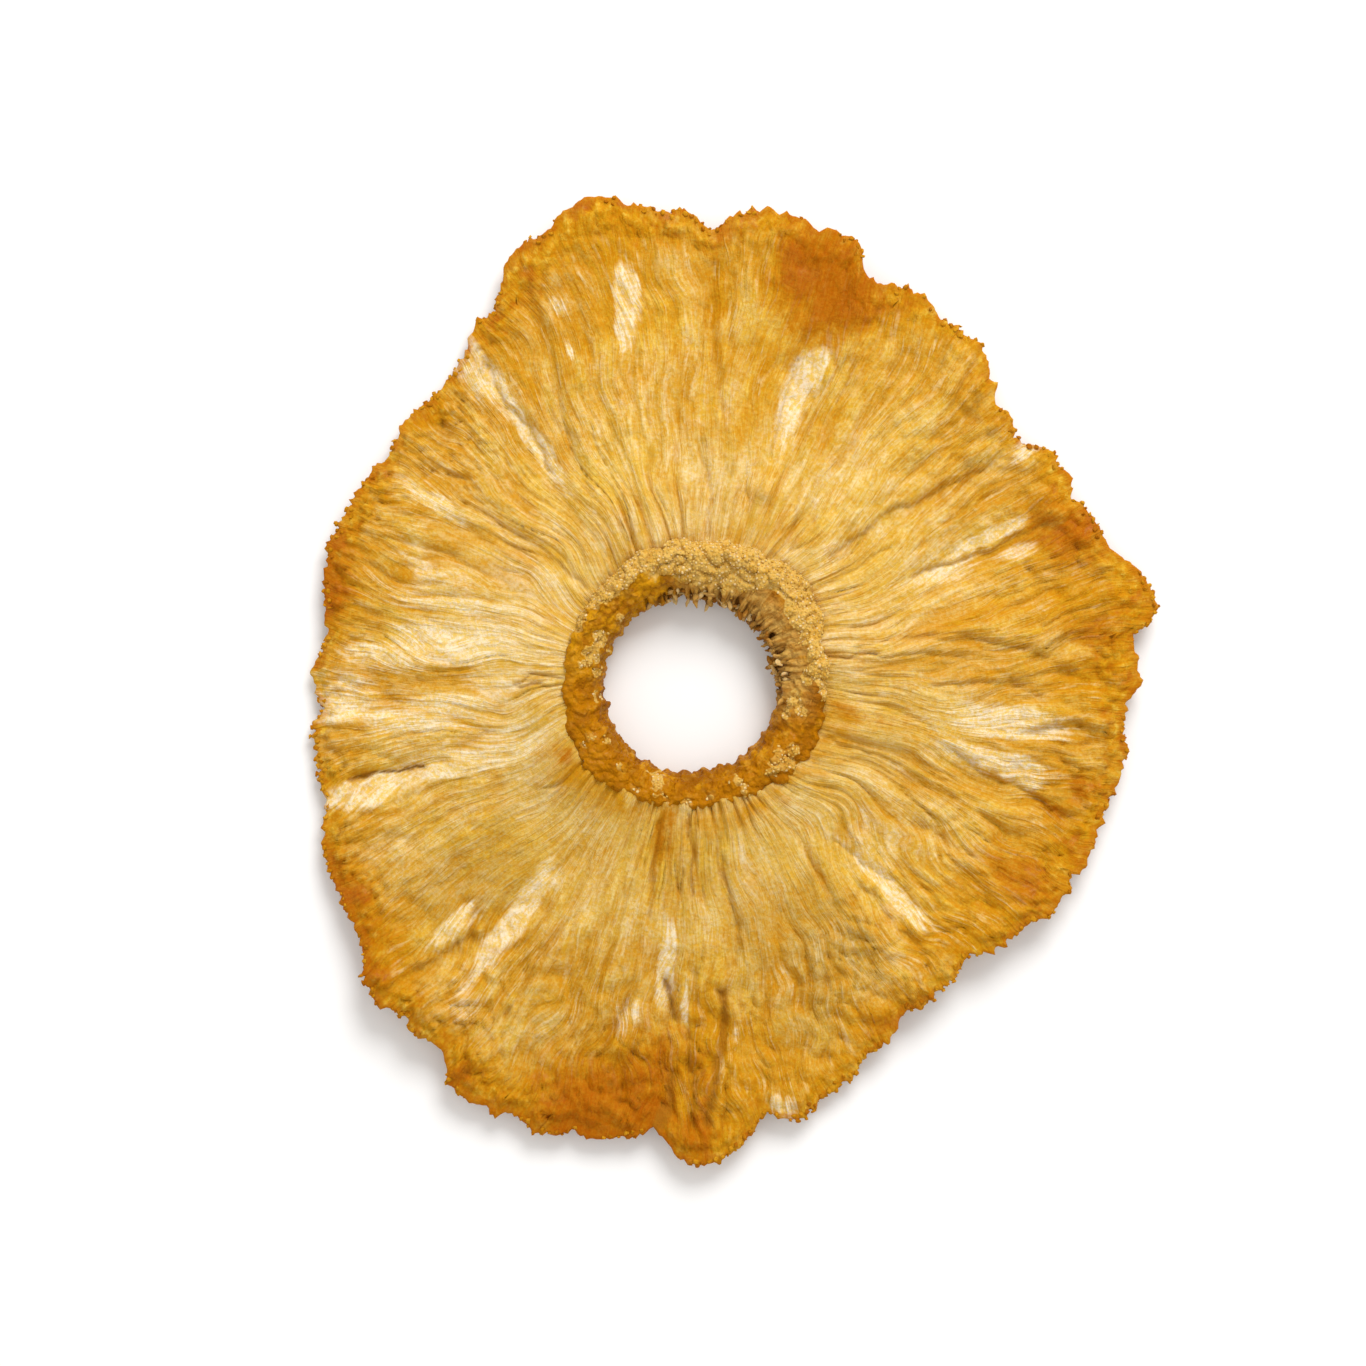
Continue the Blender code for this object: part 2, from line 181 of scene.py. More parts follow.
# Creases and folds: half-width, depth, how dark its painted shade is, the step up from its right to its left,
# and its points
CREASES = (
    (0.18, 0.6, 1.3, 0.1, ((-34.4, -10.1), (-31.7, -9.3), (-29.2, -9), (-27.2, -8.6))),
    (0.35, 0.55, 0.7, -0.45, ((-22.4, -25.8), (-26.4, -28), (-30.8, -30.7), (-31.3, -33.1))),
    (0.35, 0.9, 0.8, 0.15, ((-6.6, -32), (-7.6, -33.9), (-9.1, -37), (-9.9, -38))),
    (0.32, 1, 1, 0, ((-2.9, -30.2), (-2.4, -32.2), (-2.1, -33.9))),
    (0.35, 0.5, 0.7, 0.45, ((33.8, -5), (36.2, -4.5), (38, -4.4), (40.3, -4.8))),
    (0.3, 0.45, 0.6, 0.35, ((26, -7.1), (29.6, -9.7), (32.8, -11), (35, -12.4))),
    (0.18, 0.35, 0.7, 0.15, ((12.4, 9.4), (15.5, 10.6), (19.5, 13.5))),
    (0.18, 0.35, 0.7, 0.1, ((13.1, 2.3), (18, 2.4), (23.3, 2.5), (27, 2.2))),
    (0.25, 0.4, 0.6, 0.2, ((21, 4.1), (28.3, 4.1), (31, 3.6), (35.4, 2.3), (38, 5.2))),
    (0.22, 0.4, 0.6, 0.15, ((24, -0.6), (31, -0.2), (33.3, 0.5), (36, 0.7), (38, 1.3))),
    (0.5, 0.6, 0.5, -0.35, ((22, -14.5), (27.2, -17.4), (29.7, -18.5), (30.6, -19.9), (32.3, -20.5))),
    (0.4, 0.95, 1.2, 0, ((2.8, -31.4), (3.1, -33.6), (2.2, -39.2), (1.4, -44.3))),
    (0.35, 0.8, 0.9, 0, ((-0.6, -35), (-0.2, -39), (0, -44.5))),
    (0.4, 1, 1.2, 0.1, ((-2.4, -39.6), (-2.2, -42), (-3, -44.6))),
    (0.4, 1.1, 1.3, 0, ((-3, -42.6), (-3.4, -43.9), (-3.7, -44.8))),
    (0.3, 0.7, 0.7, -0.2, ((3.6, -39.4), (3, -43), (2.6, -45.6))),
    (0.3, 0.6, 0.6, 0.2, ((-5.4, -36), (-7, -39), (-7.6, -42.4))),
    (0.22, 0.35, 0.6, 0.15, ((3.9, -23.8), (4.6, -26), (4.2, -28.5))),
    (0.22, 0.4, 0.7, 0.2, ((-20.8, 31.6), (-19, 27.5), (-16.4, 25.4), (-14.4, 21))),
    (0.55, 0.5, 0.4, 0.2, ((-17.2, 39.7), (-14.9, 35.1), (-13.9, 30.8), (-12.9, 25.5), (-10.5, 20))),
    (0.45, 0.45, 0.6, 0, ((2.1, 40.9), (1.9, 33.2), (2.6, 27))),
    (0.2, 0.4, 0.7, -0.2, ((10.4, 32), (8.6, 27), (7.8, 22.4))),
    (0.2, 0.35, 0.7, 0.2, ((13, 30), (11.4, 27), (9.8, 24.3))),
    (0.28, 0.45, 0.7, 0.25, ((13.6, 12.2), (19, 16.6), (22.8, 18.2), (28.3, 21.1))),
    (0.26, 0.42, 0.8, 0.2, ((22, 10.4), (26.3, 11.8), (29.8, 13.1), (32.6, 14.7), (35.2, 15.4))),
    (0.15, 0.35, 0.9, 0.1, ((-18, -0.3), (-16.4, 0.4), (-14.9, 0.4), (-13.1, 0.1))),
    (0.15, 0.3, 0.7, 0.1, ((-17.6, -0.6), (-15.4, -0.4), (-13.4, -0.6))),
    (0.25, 0.25, 0.6, 0.1, ((-31.7, 18.3), (-29.2, 16.5), (-27.2, 16.3), (-23.1, 15.2), (-20.3, 13.7))),
    (0.25, 0.25, 0.6, 0.1, ((-35.8, -14.8), (-31.7, -13), (-27.9, -11.5), (-25.1, -10.5))),
    (0.3, 0.45, 0.6, 0, ((-10.9, 9.3), (-15.5, 13.4), (-20, 15.5))),
    (0.3, 0.45, 0.6, 0, ((1.2, 14.2), (1.5, 18), (0.8, 24))),
    (0.3, 0.5, 0.7, 0, ((-3.4, -14), (-3.9, -18), (-4.4, -23.5))),
    (0.3, 0.45, 0.6, 0, ((12.6, -6), (17.5, -7.3), (20.5, -8.4))),
    (0.24, 0.45, 0.9, 0, ((-0.6, -13.4), (-0.3, -17), (-0.1, -21.5))),
    (0.2, 0.4, 0.7, 0.1, ((2.8, -17.5), (3.3, -20.5), (4, -23.5), (4.5, -26.5))),
    (0.22, 0.35, 0.7, 0.15, ((16.6, -20.6), (19.4, -23.6), (22.4, -26.4))),
    (0.18, 0.28, 0.5, 0.1, ((13.9, -15.9), (17, -18.4), (19.6, -20.2))),
)

# Round bumps and pits: x, y, radius and height
BUMPS = (
    (7.2, 18.9, 1.7, 0.8), (-21.7, -37.5, 2, 1), (-10.2, -42.8, 2.4, 0.7), (-7.4, -36.5, 2.4, 0.7),
    (-22.7, -39, 0.6, -1), (-3.4, -43.8, 0.8, -1.2), (-8.4, -40.4, 0.5, -0.6), (38.8, -11, 1.2, 0.4),
    (-27.4, -32.6, 3.2, 0.8), (34.5, -7, 3, 0.7), (-24, 17.4, 2.2, 0.3), (16.3, 43.6, 1.4, 0.6),
)

# Blotches where the crust shows on the collar's glazed side: x, y and radius
CRUST_BLOTCHES = (
    (-3.9, -9.5, 0.65), (-3.6, -10.5, 0.45), (-3.3, -11.4, 0.3), (-0.7, -12.3, 0.45), (-1.4, -12.6, 0.4),
    (-2.2, -13.9, 0.35), (4.4, -10.1, 0.6), (5, -10.8, 0.5), (8.9, -8, 1.2), (7.9, -8.9, 0.7),
    (9.9, -6.9, 0.7), (9.9, -2, 0.8), (10.6, -3.1, 0.5), (11.3, 0.4, 0.8), (-10.1, 2.6, 0.9),
    (-9.4, 4, 0.8), (-10.9, 1.6, 0.4), (-10.4, -5.8, 0.4), (-10.9, -6.4, 0.35), (-9.7, -1.2, 0.35),
    (-7.4, -8.6, 0.3), (1.6, -11.6, 0.3), (-9.3, 4.5, 0.5), (-8.4, 2.9, 0.35), (-7.4, 6.2, 0.4),
    (-6.9, 5.1, 0.3), (-9.4, -1.9, 0.35), (-8.6, -5.9, 0.35), (-9.5, 0.9, 0.45), (9.1, -3.2, 0.45),
    (-11, -8.3, 0.3), (-6, -10.6, 0.3),
)

# The crumpled lobe and the gnarled places: x, y and radius
CRUMPLE = (-24.0, -34.5, 7.0)
GNARLED = ((2, -38, 9), (16, -29, 9), (36, -14, 8), (-8, -38, 8), (-24, 24, 9))

# Directions from the middle of the hole, in degrees, in which a feature shows most
STREAKY_FLESH = 108
WALL_PILLARS = 55
COLLAR_CLIFF = 75
ROUNDED_BROW = 20
DRY_BARK = 40
# where painted light brightens the glaze
LIT_GLAZE_SIDE = 125
GLAZE_STAIN = 258


# Noise and small helpers


DRAW = np.random.default_rng(11)
SLOPES = DRAW.normal(size=(256, 3))
SLOPES /= np.linalg.norm(SLOPES, axis=1, keepdims=True)
SHUFFLE = DRAW.permutation(256)
JITTER = DRAW.uniform(0.1, 0.9, size=(256, 3))
FOLD_MEAN = 0.6  # about what folds() gives on average, so that folds neither swell nor sink a skin


def around(cell, steps):
    """The cells round each cell, with a number from 0 to 255 drawn for each."""
    for offset in itertools.product(steps, repeat=3):
        at = cell + np.array(offset)
        pick = SHUFFLE[(SHUFFLE[(SHUFFLE[at[..., 0] & 255] + at[..., 1]) & 255] + at[..., 2]) & 255]
        yield np.array(offset), at, pick


def noise(points, seed=0):
    """Smooth noise from about -1 to 1, with features about one unit apart."""
    points = np.asarray(points, float) + seed * np.array((17.31, 31.77, 5.93))
    cell = np.floor(points).astype(int)
    part = points - cell
    fade = part**3 * (part * (part * 6 - 15) + 10)
    total = np.zeros(points.shape[:-1])
    for corner, _, pick in around(cell, (0, 1)):
        weight = np.prod(np.where(corner.astype(bool), fade, 1 - fade), axis=-1)
        total += weight * (SLOPES[pick] * (part - corner)).sum(axis=-1)
    return total * 1.6


def granules(points, seed=0):
    """Round grains packed at random, about one unit apart: 1 at a grain's middle and 0 between grains."""
    points = np.asarray(points, float) + seed * 7.7
    nearest = np.full(points.shape[:-1], 9.0)
    for _, at, pick in around(np.floor(points).astype(int), (-1, 0, 1)):
        nearest = np.minimum(nearest, np.linalg.norm(points - at - JITTER[pick], axis=-1))
    return np.clip(1 - 1.7 * nearest**2, 0, 1)


def drawn_out(angle, radius, cells, length, seed):
    """Noise drawn out along the fibres: so many cells to a radian, and one cell to `length` mm."""
    return noise(np.stack([np.cos(angle) * cells, np.sin(angle) * cells, radius / length], -1), seed)


def round_noise(cells, seed):
    """Noise round the ring alone, with so many cells to a radian."""
    return drawn_out(ANGLES, 0 * ANGLES, cells, 1.0, seed)


def folds(values, sharp):
    """Round backs between sharp creases: 0 in a crease, and nearly 1 on a back."""
    return 1 - np.exp(-np.abs(values) * sharp)


def step(value, low=0.0, high=1.0):
    value = np.clip((value - low) / (high - low), 0.0, 1.0)
    return value * value * (3 - 2 * value)


def bell(distance, width):
    return np.exp(-((distance / width) ** 2))


def spot(x, y, middle_x, middle_y, size):
    return bell(np.hypot(x - middle_x, y - middle_y), size)


def patches(table, x, y, edge):
    """Where a table's patches lie. A small `edge` makes their outlines soft, and a large one crisp."""
    clear = np.ones_like(x)
    for middle_x, middle_y, half_length, half_width, strength in table:
        out = math.hypot(middle_x, middle_y)
        ahead_x, ahead_y = middle_x / out, middle_y / out
        along = (x - middle_x) * ahead_x + (y - middle_y) * ahead_y
        across = (y - middle_y) * ahead_x - (x - middle_x) * ahead_y
        away = (np.abs(along / half_length) ** 2.6 + np.abs(across / half_width) ** 2.6) ** (1 / 2.6)
        clear *= 1 - strength / (1 + np.exp(np.clip((away - 1) * edge, -30, 30)))
    return 1 - clear


def by_angle(table, angle):
    """Values of a table of pairs, an angle in degrees and a value, at angles in radians."""
    degrees, values = zip(*table)
    return np.interp(np.degrees(angle) % 360, degrees, values, period=360)


def collar_edge(angle):
    return by_angle(COLLAR_EDGE, angle)


def toward(angle, direction, low, high):
    """From 0 to 1 as an angle nears a direction. The limits are cosines of the angle between the two."""
    return step(np.cos(angle - math.radians(direction)), low, high)


def pillared(angle):
    """How deeply the hole's wall is split into pillars: most at the top right, least at the bottom left."""
    return 0.10 + 0.90 * toward(angle, WALL_PILLARS, 0.1, 0.7)


def cliff(angle):
    """How steeply the collar stands over the flesh: most at the top right, hardly at the bottom left."""
    return 0.1 + 0.9 * toward(angle, COLLAR_CLIFF, -0.75, 0.3)


# The form of the frame's solid


def hit(tree, angle, radius, down):
    """Height, in mm, at which a plumb line meets the solid from above or from below, or None."""
    side = 1 if down else -1
    x, y = CORE[0] + math.cos(angle) * radius * MM, CORE[1] + math.sin(angle) * radius * MM
    met = tree.ray_cast(Vector((x, y, side * CLEAR_OF)), Vector((0, 0, -side)))[0]
    return None if met is None else met.z / MM


def edge_radius(tree, angle, bare, solid):
    """Radius of the solid's edge between a radius where it is bare and one where there is flesh."""
    for _ in range(HALVINGS):
        middle = (bare + solid) / 2
        if hit(tree, angle, middle, True) is None:
            bare = middle
        else:
            solid = middle
    return solid


def smoothed(rows, reach):
    """Heights evened out round the ring, over about so many sections."""
    sections = rows.shape[1]
    waves = np.fft.rfftfreq(sections) * sections
    keep = np.exp(-0.5 * (waves * reach * FULL_TURN / sections) ** 2)
    return np.fft.irfft(np.fft.rfft(rows, axis=1) * keep, n=sections, axis=1)


def plumbed(tree, radii, down):
    """Heights of the solid's top or underside at rows of radii round the ring."""
    rows = [[hit(tree, angle, radius, down) for angle, radius in zip(ANGLES, ring)] for ring in radii]
    return np.array(rows)


def spread(inner, outer, start):
    """Radii of the flesh's top rows: a few under the collar, and the rest from there to the rim."""
    hidden = np.linspace(0, 1, HIDDEN_ROWS, endpoint=False)[:, None]
    seen = np.linspace(0, 1, TOP_ROWS - HIDDEN_ROWS)[:, None]
    tucked = inner + BEHIND + (start - inner - BEHIND) * hidden
    return np.concatenate([tucked, start + (outer - start) * seen])


def solid_form():
    """What the looks take from the solid: its hole, its rim and the heights of its faces."""
    mesh = frame["nodes"][RING].data
    tree = BVHTree.FromPolygons([v.co for v in mesh.vertices], [p.vertices for p in mesh.polygons])
    hole = np.array([edge_radius(tree, angle, NARROWEST, IN_COLLAR) for angle in ANGLES])
    rim = np.array([edge_radius(tree, angle, WIDEST, IN_FLESH) for angle in ANGLES])
    collar = collar_edge(ANGLES)
    top = plumbed(tree, spread(hole, rim - INSET, collar - TUCK), True)
    shares = np.linspace(1, 0, UNDER_ROWS)[:, None]
    under = plumbed(tree, hole + INSET + (rim - hole - 2 * INSET) * shares, False)
    shares = np.linspace(0, 1, COLLAR_ROWS)[:, None]
    crest = plumbed(tree, hole + INSET + (collar - hole - INSET) * shares, True)
    return {
        "hole": smoothed(hole[None], 4)[0],
        "rim": smoothed(rim[None], 1.2)[0],
        "top": smoothed(top, 3),
        "under": smoothed(under, 4.5),
        "crest": smoothed(crest, 3),
    }


# The skin's relief and its fields of colour


def fibre_angle(angle, radius, x, y):
    """The angle of the fibre that passes each point: fibres sway, and part round the seed pockets."""
    sway = 0.055 * drawn_out(angle, radius, 2.4, 16.0, 1) + 0.022 * drawn_out(angle, radius, 6.0, 8.0, 2)
    sway += 0.009 * drawn_out(angle, radius, 18.0, 4.0, 3)
    wild = step(radius, 26.0, 42.0)
    sway += wild * 0.010 * drawn_out(angle, radius, 9.0, 5.0, 4)
    for knot in GNARLED:
        sway += spot(x, y, *knot) * 0.035 * noise(np.stack([x / 4.0, y / 4.0, np.zeros_like(x)], -1), 5)
    for middle_x, middle_y, half_length, half_width, strength in CREAM:
        if half_length < SEED_POCKET:
            continue
        out = math.hypot(middle_x, middle_y)
        across = (y * middle_x - x * middle_y) / out
        near = bell(radius - out, half_length * 1.1) * bell(across, half_width * 2.2)
        sway -= 0.55 * near * across / np.maximum(radius, 5.0)
    return angle + sway * step(radius, 12.0, 20.0)


def crease_fields(x, y):
    """Depth, painted shade and step of the named creases."""
    depth, dark, lift = np.zeros_like(x), np.zeros_like(x), np.zeros_like(x)
    for half_width, deep, darkness, rise, points in CREASES:
        nearest = np.full_like(x, 99.0)
        side = np.zeros_like(x)
        for (ax, ay), (bx, by) in zip(points, points[1:]):
            length = math.hypot(bx - ax, by - ay)
            ux, uy = (bx - ax) / length, (by - ay) / length
            along = np.clip((x - ax) * ux + (y - ay) * uy, 0, length)
            away = np.hypot(x - ax - along * ux, y - ay - along * uy)
            left = (y - ay) * ux - (x - ax) * uy
            closer = away < nearest
            side = np.where(closer, left, side)
            nearest = np.where(closer, away, nearest)
        shape = 1 / (1 + (nearest / half_width) ** 2)
        depth = np.maximum(depth, deep * shape)
        dark = np.maximum(dark, 0.75 * darkness * bell(nearest, half_width * 1.3))
        lift += rise * np.tanh(side / 0.4) * bell(nearest, 1.8)
    return depth, dark, lift


def skin_fields(angle, radius, rim):
    """Relief of the flesh's top, in mm, and the fields that its colours and crumbs follow."""
    x, y = np.cos(angle) * radius, np.sin(angle) * radius
    fibre = fibre_angle(angle, radius, x, y)
    from_collar = radius - collar_edge(angle)
    to_rim = rim - radius
    near_rim = step(to_rim, 8.0, 0.5)
    far_out = step(radius, 18.0, 36.0)
    browned = by_angle(RIM_BROWNING, angle)

    def level(size, seed, shift=0.0, push=0.0):
        """Noise over the ring's plane, with features about so many mm apart."""
        return noise(np.stack([x / size + push, y / size, np.zeros_like(x) + shift], -1), seed)

    def along(cells, length, seed):
        """Noise drawn out along the fibres."""
        return drawn_out(fibre, radius, cells, length, seed)

    def laid(table, ragged, edge):
        """Where a table's patches lie, with ragged outlines."""
        return patches(table, x + ragged * wobble_x, y + ragged * wobble_y, edge)

    wobble_x, wobble_y = (0.5 * level(1.8, 6, shift) + 0.25 * level(0.7, 7, shift) for shift in (0, 9))
    mottle = level(2.6, 8)
    grain = level(0.9, 9)

    # Folds, pleats, threads and cracks along the fibres, and buckled, leathery and wrinkled flesh
    folded = 0.25 + 0.75 * step(level(8.0, 50) + 0.5 * along(7.0, 6.0, 51), -0.35, 0.45)
    pleated = 0.15 + 0.85 * step(level(6.0, 52) + 0.4 * along(6.0, 8.0, 59), -0.4, 0.4)
    fold = folds(along(9.0, 14.0, 11) + 0.35 * along(20.0, 7.0, 12), 3.6)
    inner_pleat = folds(along(19.0, 10.0, 13) + 0.35 * along(36.0, 5.0, 14), 4.0)
    outer_pleat = folds(along(30.0, 6.0, 60) + 0.35 * along(56.0, 3.0, 61), 4.0)
    pleat = inner_pleat + (outer_pleat - inner_pleat) * far_out
    thread = folds(along(46.0, 5.0, 15), 4.0)
    leather = folds(level(4.2, 62, push=0.5 * mottle), 2.6)
    buckle = folds(along(15.0, 3.0, 53) + 0.4 * along(34.0, 1.6, 54), 3.5)
    crack = bell(along(9.0, 16.0, 31), 0.035 + 0.03 * far_out) * step(along(5.0, 7.0, 32), 0.0, 0.45)
    cross = folds(along(12.0, 1.1, 63), 3.0)
    wrinkle = folds(level(1.7, 17, push=mottle), 4.0)
    rough_rim = folds(level(1.1, 33, push=0.4 * mottle), 3.5)
    streaky = toward(angle, STREAKY_FLESH, 0.35, 0.85)
    crumple = spot(x, y, *CRUMPLE)
    for middle_x, middle_y, size in GNARLED:
        crumple = np.maximum(crumple, 0.55 * spot(x, y, middle_x, middle_y, size * 0.8))

    # Patches of colour, with ragged edges
    ragged = 1.1 * along(42.0, 30.0, 67)
    ragged_x, ragged_y = ragged * np.cos(angle), ragged * np.sin(angle)
    toasted = [(*patch[:2], patch[2] + 1.4, patch[3] + 1.4, 0.85 * patch[4]) for patch in SCORCH]
    toasted = laid(toasted, 1.6, 2.2)
    cream = patches(CREAM, x + ragged_x + 0.5 * wobble_x, y + ragged_y + 0.5 * wobble_y, 4.5)
    cream *= 1 - step(toasted, 0.3, 0.7)
    ashen = laid(ASHEN, 1.5, 2.5)
    gold = 0.40 + 0.25 * far_out + 0.8 * level(9.0, 34) + 0.35 * along(8.0, 9.0, 35)
    depth, dark, lift = crease_fields(x + 0.7 * wobble_x, y + 0.7 * wobble_y)

    relief = (1 - 0.6 * cream) * (
        0.70 * folded * (fold - FOLD_MEAN) * (1 - 0.45 * near_rim)
        + (0.26 + 0.18 * far_out) * pleated * (pleat - FOLD_MEAN) * (1 - 0.3 * near_rim)
        + 0.05 * (thread - FOLD_MEAN)
        + (0.40 - 0.22 * streaky) * far_out * (buckle - FOLD_MEAN)
        + (0.55 - 0.35 * streaky) * far_out * (leather - FOLD_MEAN)
        - 0.40 * crack
    )
    coarse = crumple * (wrinkle - FOLD_MEAN) + 0.25 * near_rim * mottle
    relief += coarse + (0.03 + 0.06 * far_out) * grain
    crumbly = step(to_rim + 1.2 * mottle, np.maximum(1.2 * browned, 2.4), 0.1)
    knobs = granules(np.stack([x / 0.95, y / 0.95, np.zeros_like(x)], -1), 66)
    relief += near_rim * 0.34 * (rough_rim - FOLD_MEAN) + 0.10 * step(to_rim, 4.0, 0.5) * level(0.55, 10)
    relief += crumbly * (0.40 * (rough_rim - FOLD_MEAN) + 0.60 * (knobs - 0.4))
    pith = cream * (0.07 * (thread - 0.5) + 0.16 * (cross - 0.5))
    relief += ashen * 0.25 * level(4.5, 18) + lift - depth - 0.15 * cream + pith
    relief -= (0.04 + 0.38 * cliff(angle)) * bell(from_collar, 0.6)
    for middle_x, middle_y, size, height in BUMPS:
        near = np.hypot(x + 0.4 * wobble_x - middle_x, y + 0.4 * wobble_y - middle_y)
        relief += height * bell(near, size * 0.75)
        # Pits also get painted shade in their hollows
        if height < 0:
            dark = np.maximum(dark, step(0.5 * size - near, -0.45, 0.15))

    # Painted shade: how deep each point lies in a fold or pleat's valley; the material lays warm amber there
    # as the creases' shade
    valley_shade = folded * (1 - fold) * 0.60 + 0.45 * pleated * (1 - pleat)
    fields = {
        "crease": np.clip(valley_shade + 0.3 * far_out * (1 - buckle) + 0.25 * far_out * (1 - leather), 0, 1),
        "pleated": pleated,
        "shade": np.clip(np.maximum(dark, 0.5 * crack), 0, 1),
        "cream": cream,
        "amber": np.maximum(laid(AMBER, 1.6, 2.2), toasted),
        "scorch": laid(SCORCH, 1.3, 2.2),
        "ashen": ashen,
        "rosy": laid(ROSY, 0.5, 5.0),
        "gold": np.maximum(np.clip(gold, 0, 1), laid(GOLD, 1.0, 2.5)),
        "rim_band": step(to_rim + 1.6 * mottle + 0.7 * grain, browned, 0.2 * browned),
        # Painted highlight: the tops of the rim's knobs; painted shade: the gaps between them
        "knobs": crumbly * knobs,
        "gaps": crumbly * step(knobs, 0.5, 0.05) * np.clip((browned - 1) / 3, 0, 1),
        "seared": step(to_rim + 0.35 * grain + 0.3 * mottle, 0.2 * np.minimum(browned, 4.5) - 0.05, -0.15),
        # Painted shade in the crevice where the flesh meets the collar's steep side
        "crevice": bell(from_collar - 0.1, 0.5) * cliff(angle),
    }
    return relief, fields, fibre


# The skins


def ring_points(radius, height):
    """Points at rows of radii and heights round the hole."""
    return np.stack([np.cos(ANGLES) * radius, np.sin(ANGLES) * radius, height], -1)


def ragged_rim(form, crumble):
    """The radius of the flesh's rim, with crumbs and bites a few tenths of a millimetre deep."""
    crumbs = 0.45 * (folds(round_noise(34.0, 22), 4.0) - FOLD_MEAN) + 0.35 * round_noise(60.0, 23)
    crumbs += 0.75 * (0.45 - folds(round_noise(52.0, 65), 5.0))
    crumbs += 1.1 * (0.4 - folds(round_noise(34.0, 57), 4.0)) * step(round_noise(9.0, 58), -0.2, 0.3)
    crumbs += 0.7 * (folds(round_noise(13.0, 24), 3.0) - FOLD_MEAN) + 0.5 * round_noise(9.0, 55)
    return form["rim"] + crumble / MM * crumbs - RIM_ROUNDING


def flesh_mesh(settings, form):
    """The flesh as one closed skin: top, rim, underside, and an inner face behind the collar."""
    hole, under = form["hole"], form["under"]
    edge, collar = ragged_rim(form, settings.rim_crumble), collar_edge(ANGLES)
    radius = spread(hole, edge, collar - TUCK)
    relief, fields, fibre = skin_fields(np.broadcast_to(ANGLES, radius.shape), radius, edge)
    buried = step(radius - collar, 0.2, -0.6)
    rise = (1 - cliff(ANGLES)) * np.maximum(COLLAR_LEVEL - 0.15 - form["top"], 0)
    rise = rise * bell(np.maximum(radius - collar, 0), 4.2)
    height = form["top"] + (settings.relief * relief + rise) * (1 - buried) - 1.3 * buried
    foot = np.linspace(0, UNDER_ROWS - 1, TOP_ROWS).round().astype(int)
    height = np.maximum(height, under[::-1][foot] + THINNEST)

    rows = list(zip(radius, height))
    lip_top, lip_foot = height[-1], np.maximum(under[0], 0.0)
    for turn in np.linspace(0, math.pi, RIM_ROWS + 2)[1:-1]:
        middle, half = (lip_top + lip_foot) / 2, (lip_top - lip_foot) / 2
        rows.append((edge + RIM_ROUNDING * math.sin(turn), middle + half * math.cos(turn)))
    for row, share in enumerate(np.linspace(1, 0, UNDER_ROWS)):
        out = hole + BEHIND + (edge - hole - BEHIND) * share
        swell = 0.14 * drawn_out(ANGLES, out, 14.0, 9.0, 27) + 0.10 * drawn_out(ANGLES, out, 30.0, 8.0, 28)
        rows.append((out, np.maximum(under[row] + swell * step(under[row], 0.0, 0.3), 0.0)))
    foot_height = rows[-1][1]
    for share in np.linspace(0, 1, INNER_ROWS + 2)[1:-1]:
        rows.append((hole + BEHIND, foot_height + (height[0] - foot_height) * share))

    lower = len(rows) - TOP_ROWS
    fade = np.linspace(1, 0, lower - RIM_ROWS)[:, None]
    for name, values in fields.items():
        underneath = values[-1:] * step(fade, 0.7, 1.0) + 0.3 * values[[TOP_ROWS // 2]] * step(fade, 0.9, 0.6)
        fields[name] = np.concatenate([values, np.repeat(values[-1:], RIM_ROWS, axis=0), underneath])
    fields["crumbly"] = np.zeros((len(rows), SECTIONS))
    fields["crumbly"][TOP_ROWS - 1 : TOP_ROWS + RIM_ROWS] = step(round_noise(12.0, 56), -0.3, 0.2)
    fibre = np.concatenate([fibre, np.repeat(fibre[-1:], lower, axis=0)])
    radius, height = (np.array(part) for part in zip(*rows))
    course = np.stack([np.cos(fibre), np.sin(fibre), radius / 30.0], -1)
    return grid_mesh("flesh_ring", ring_points(radius, height), fields, course)


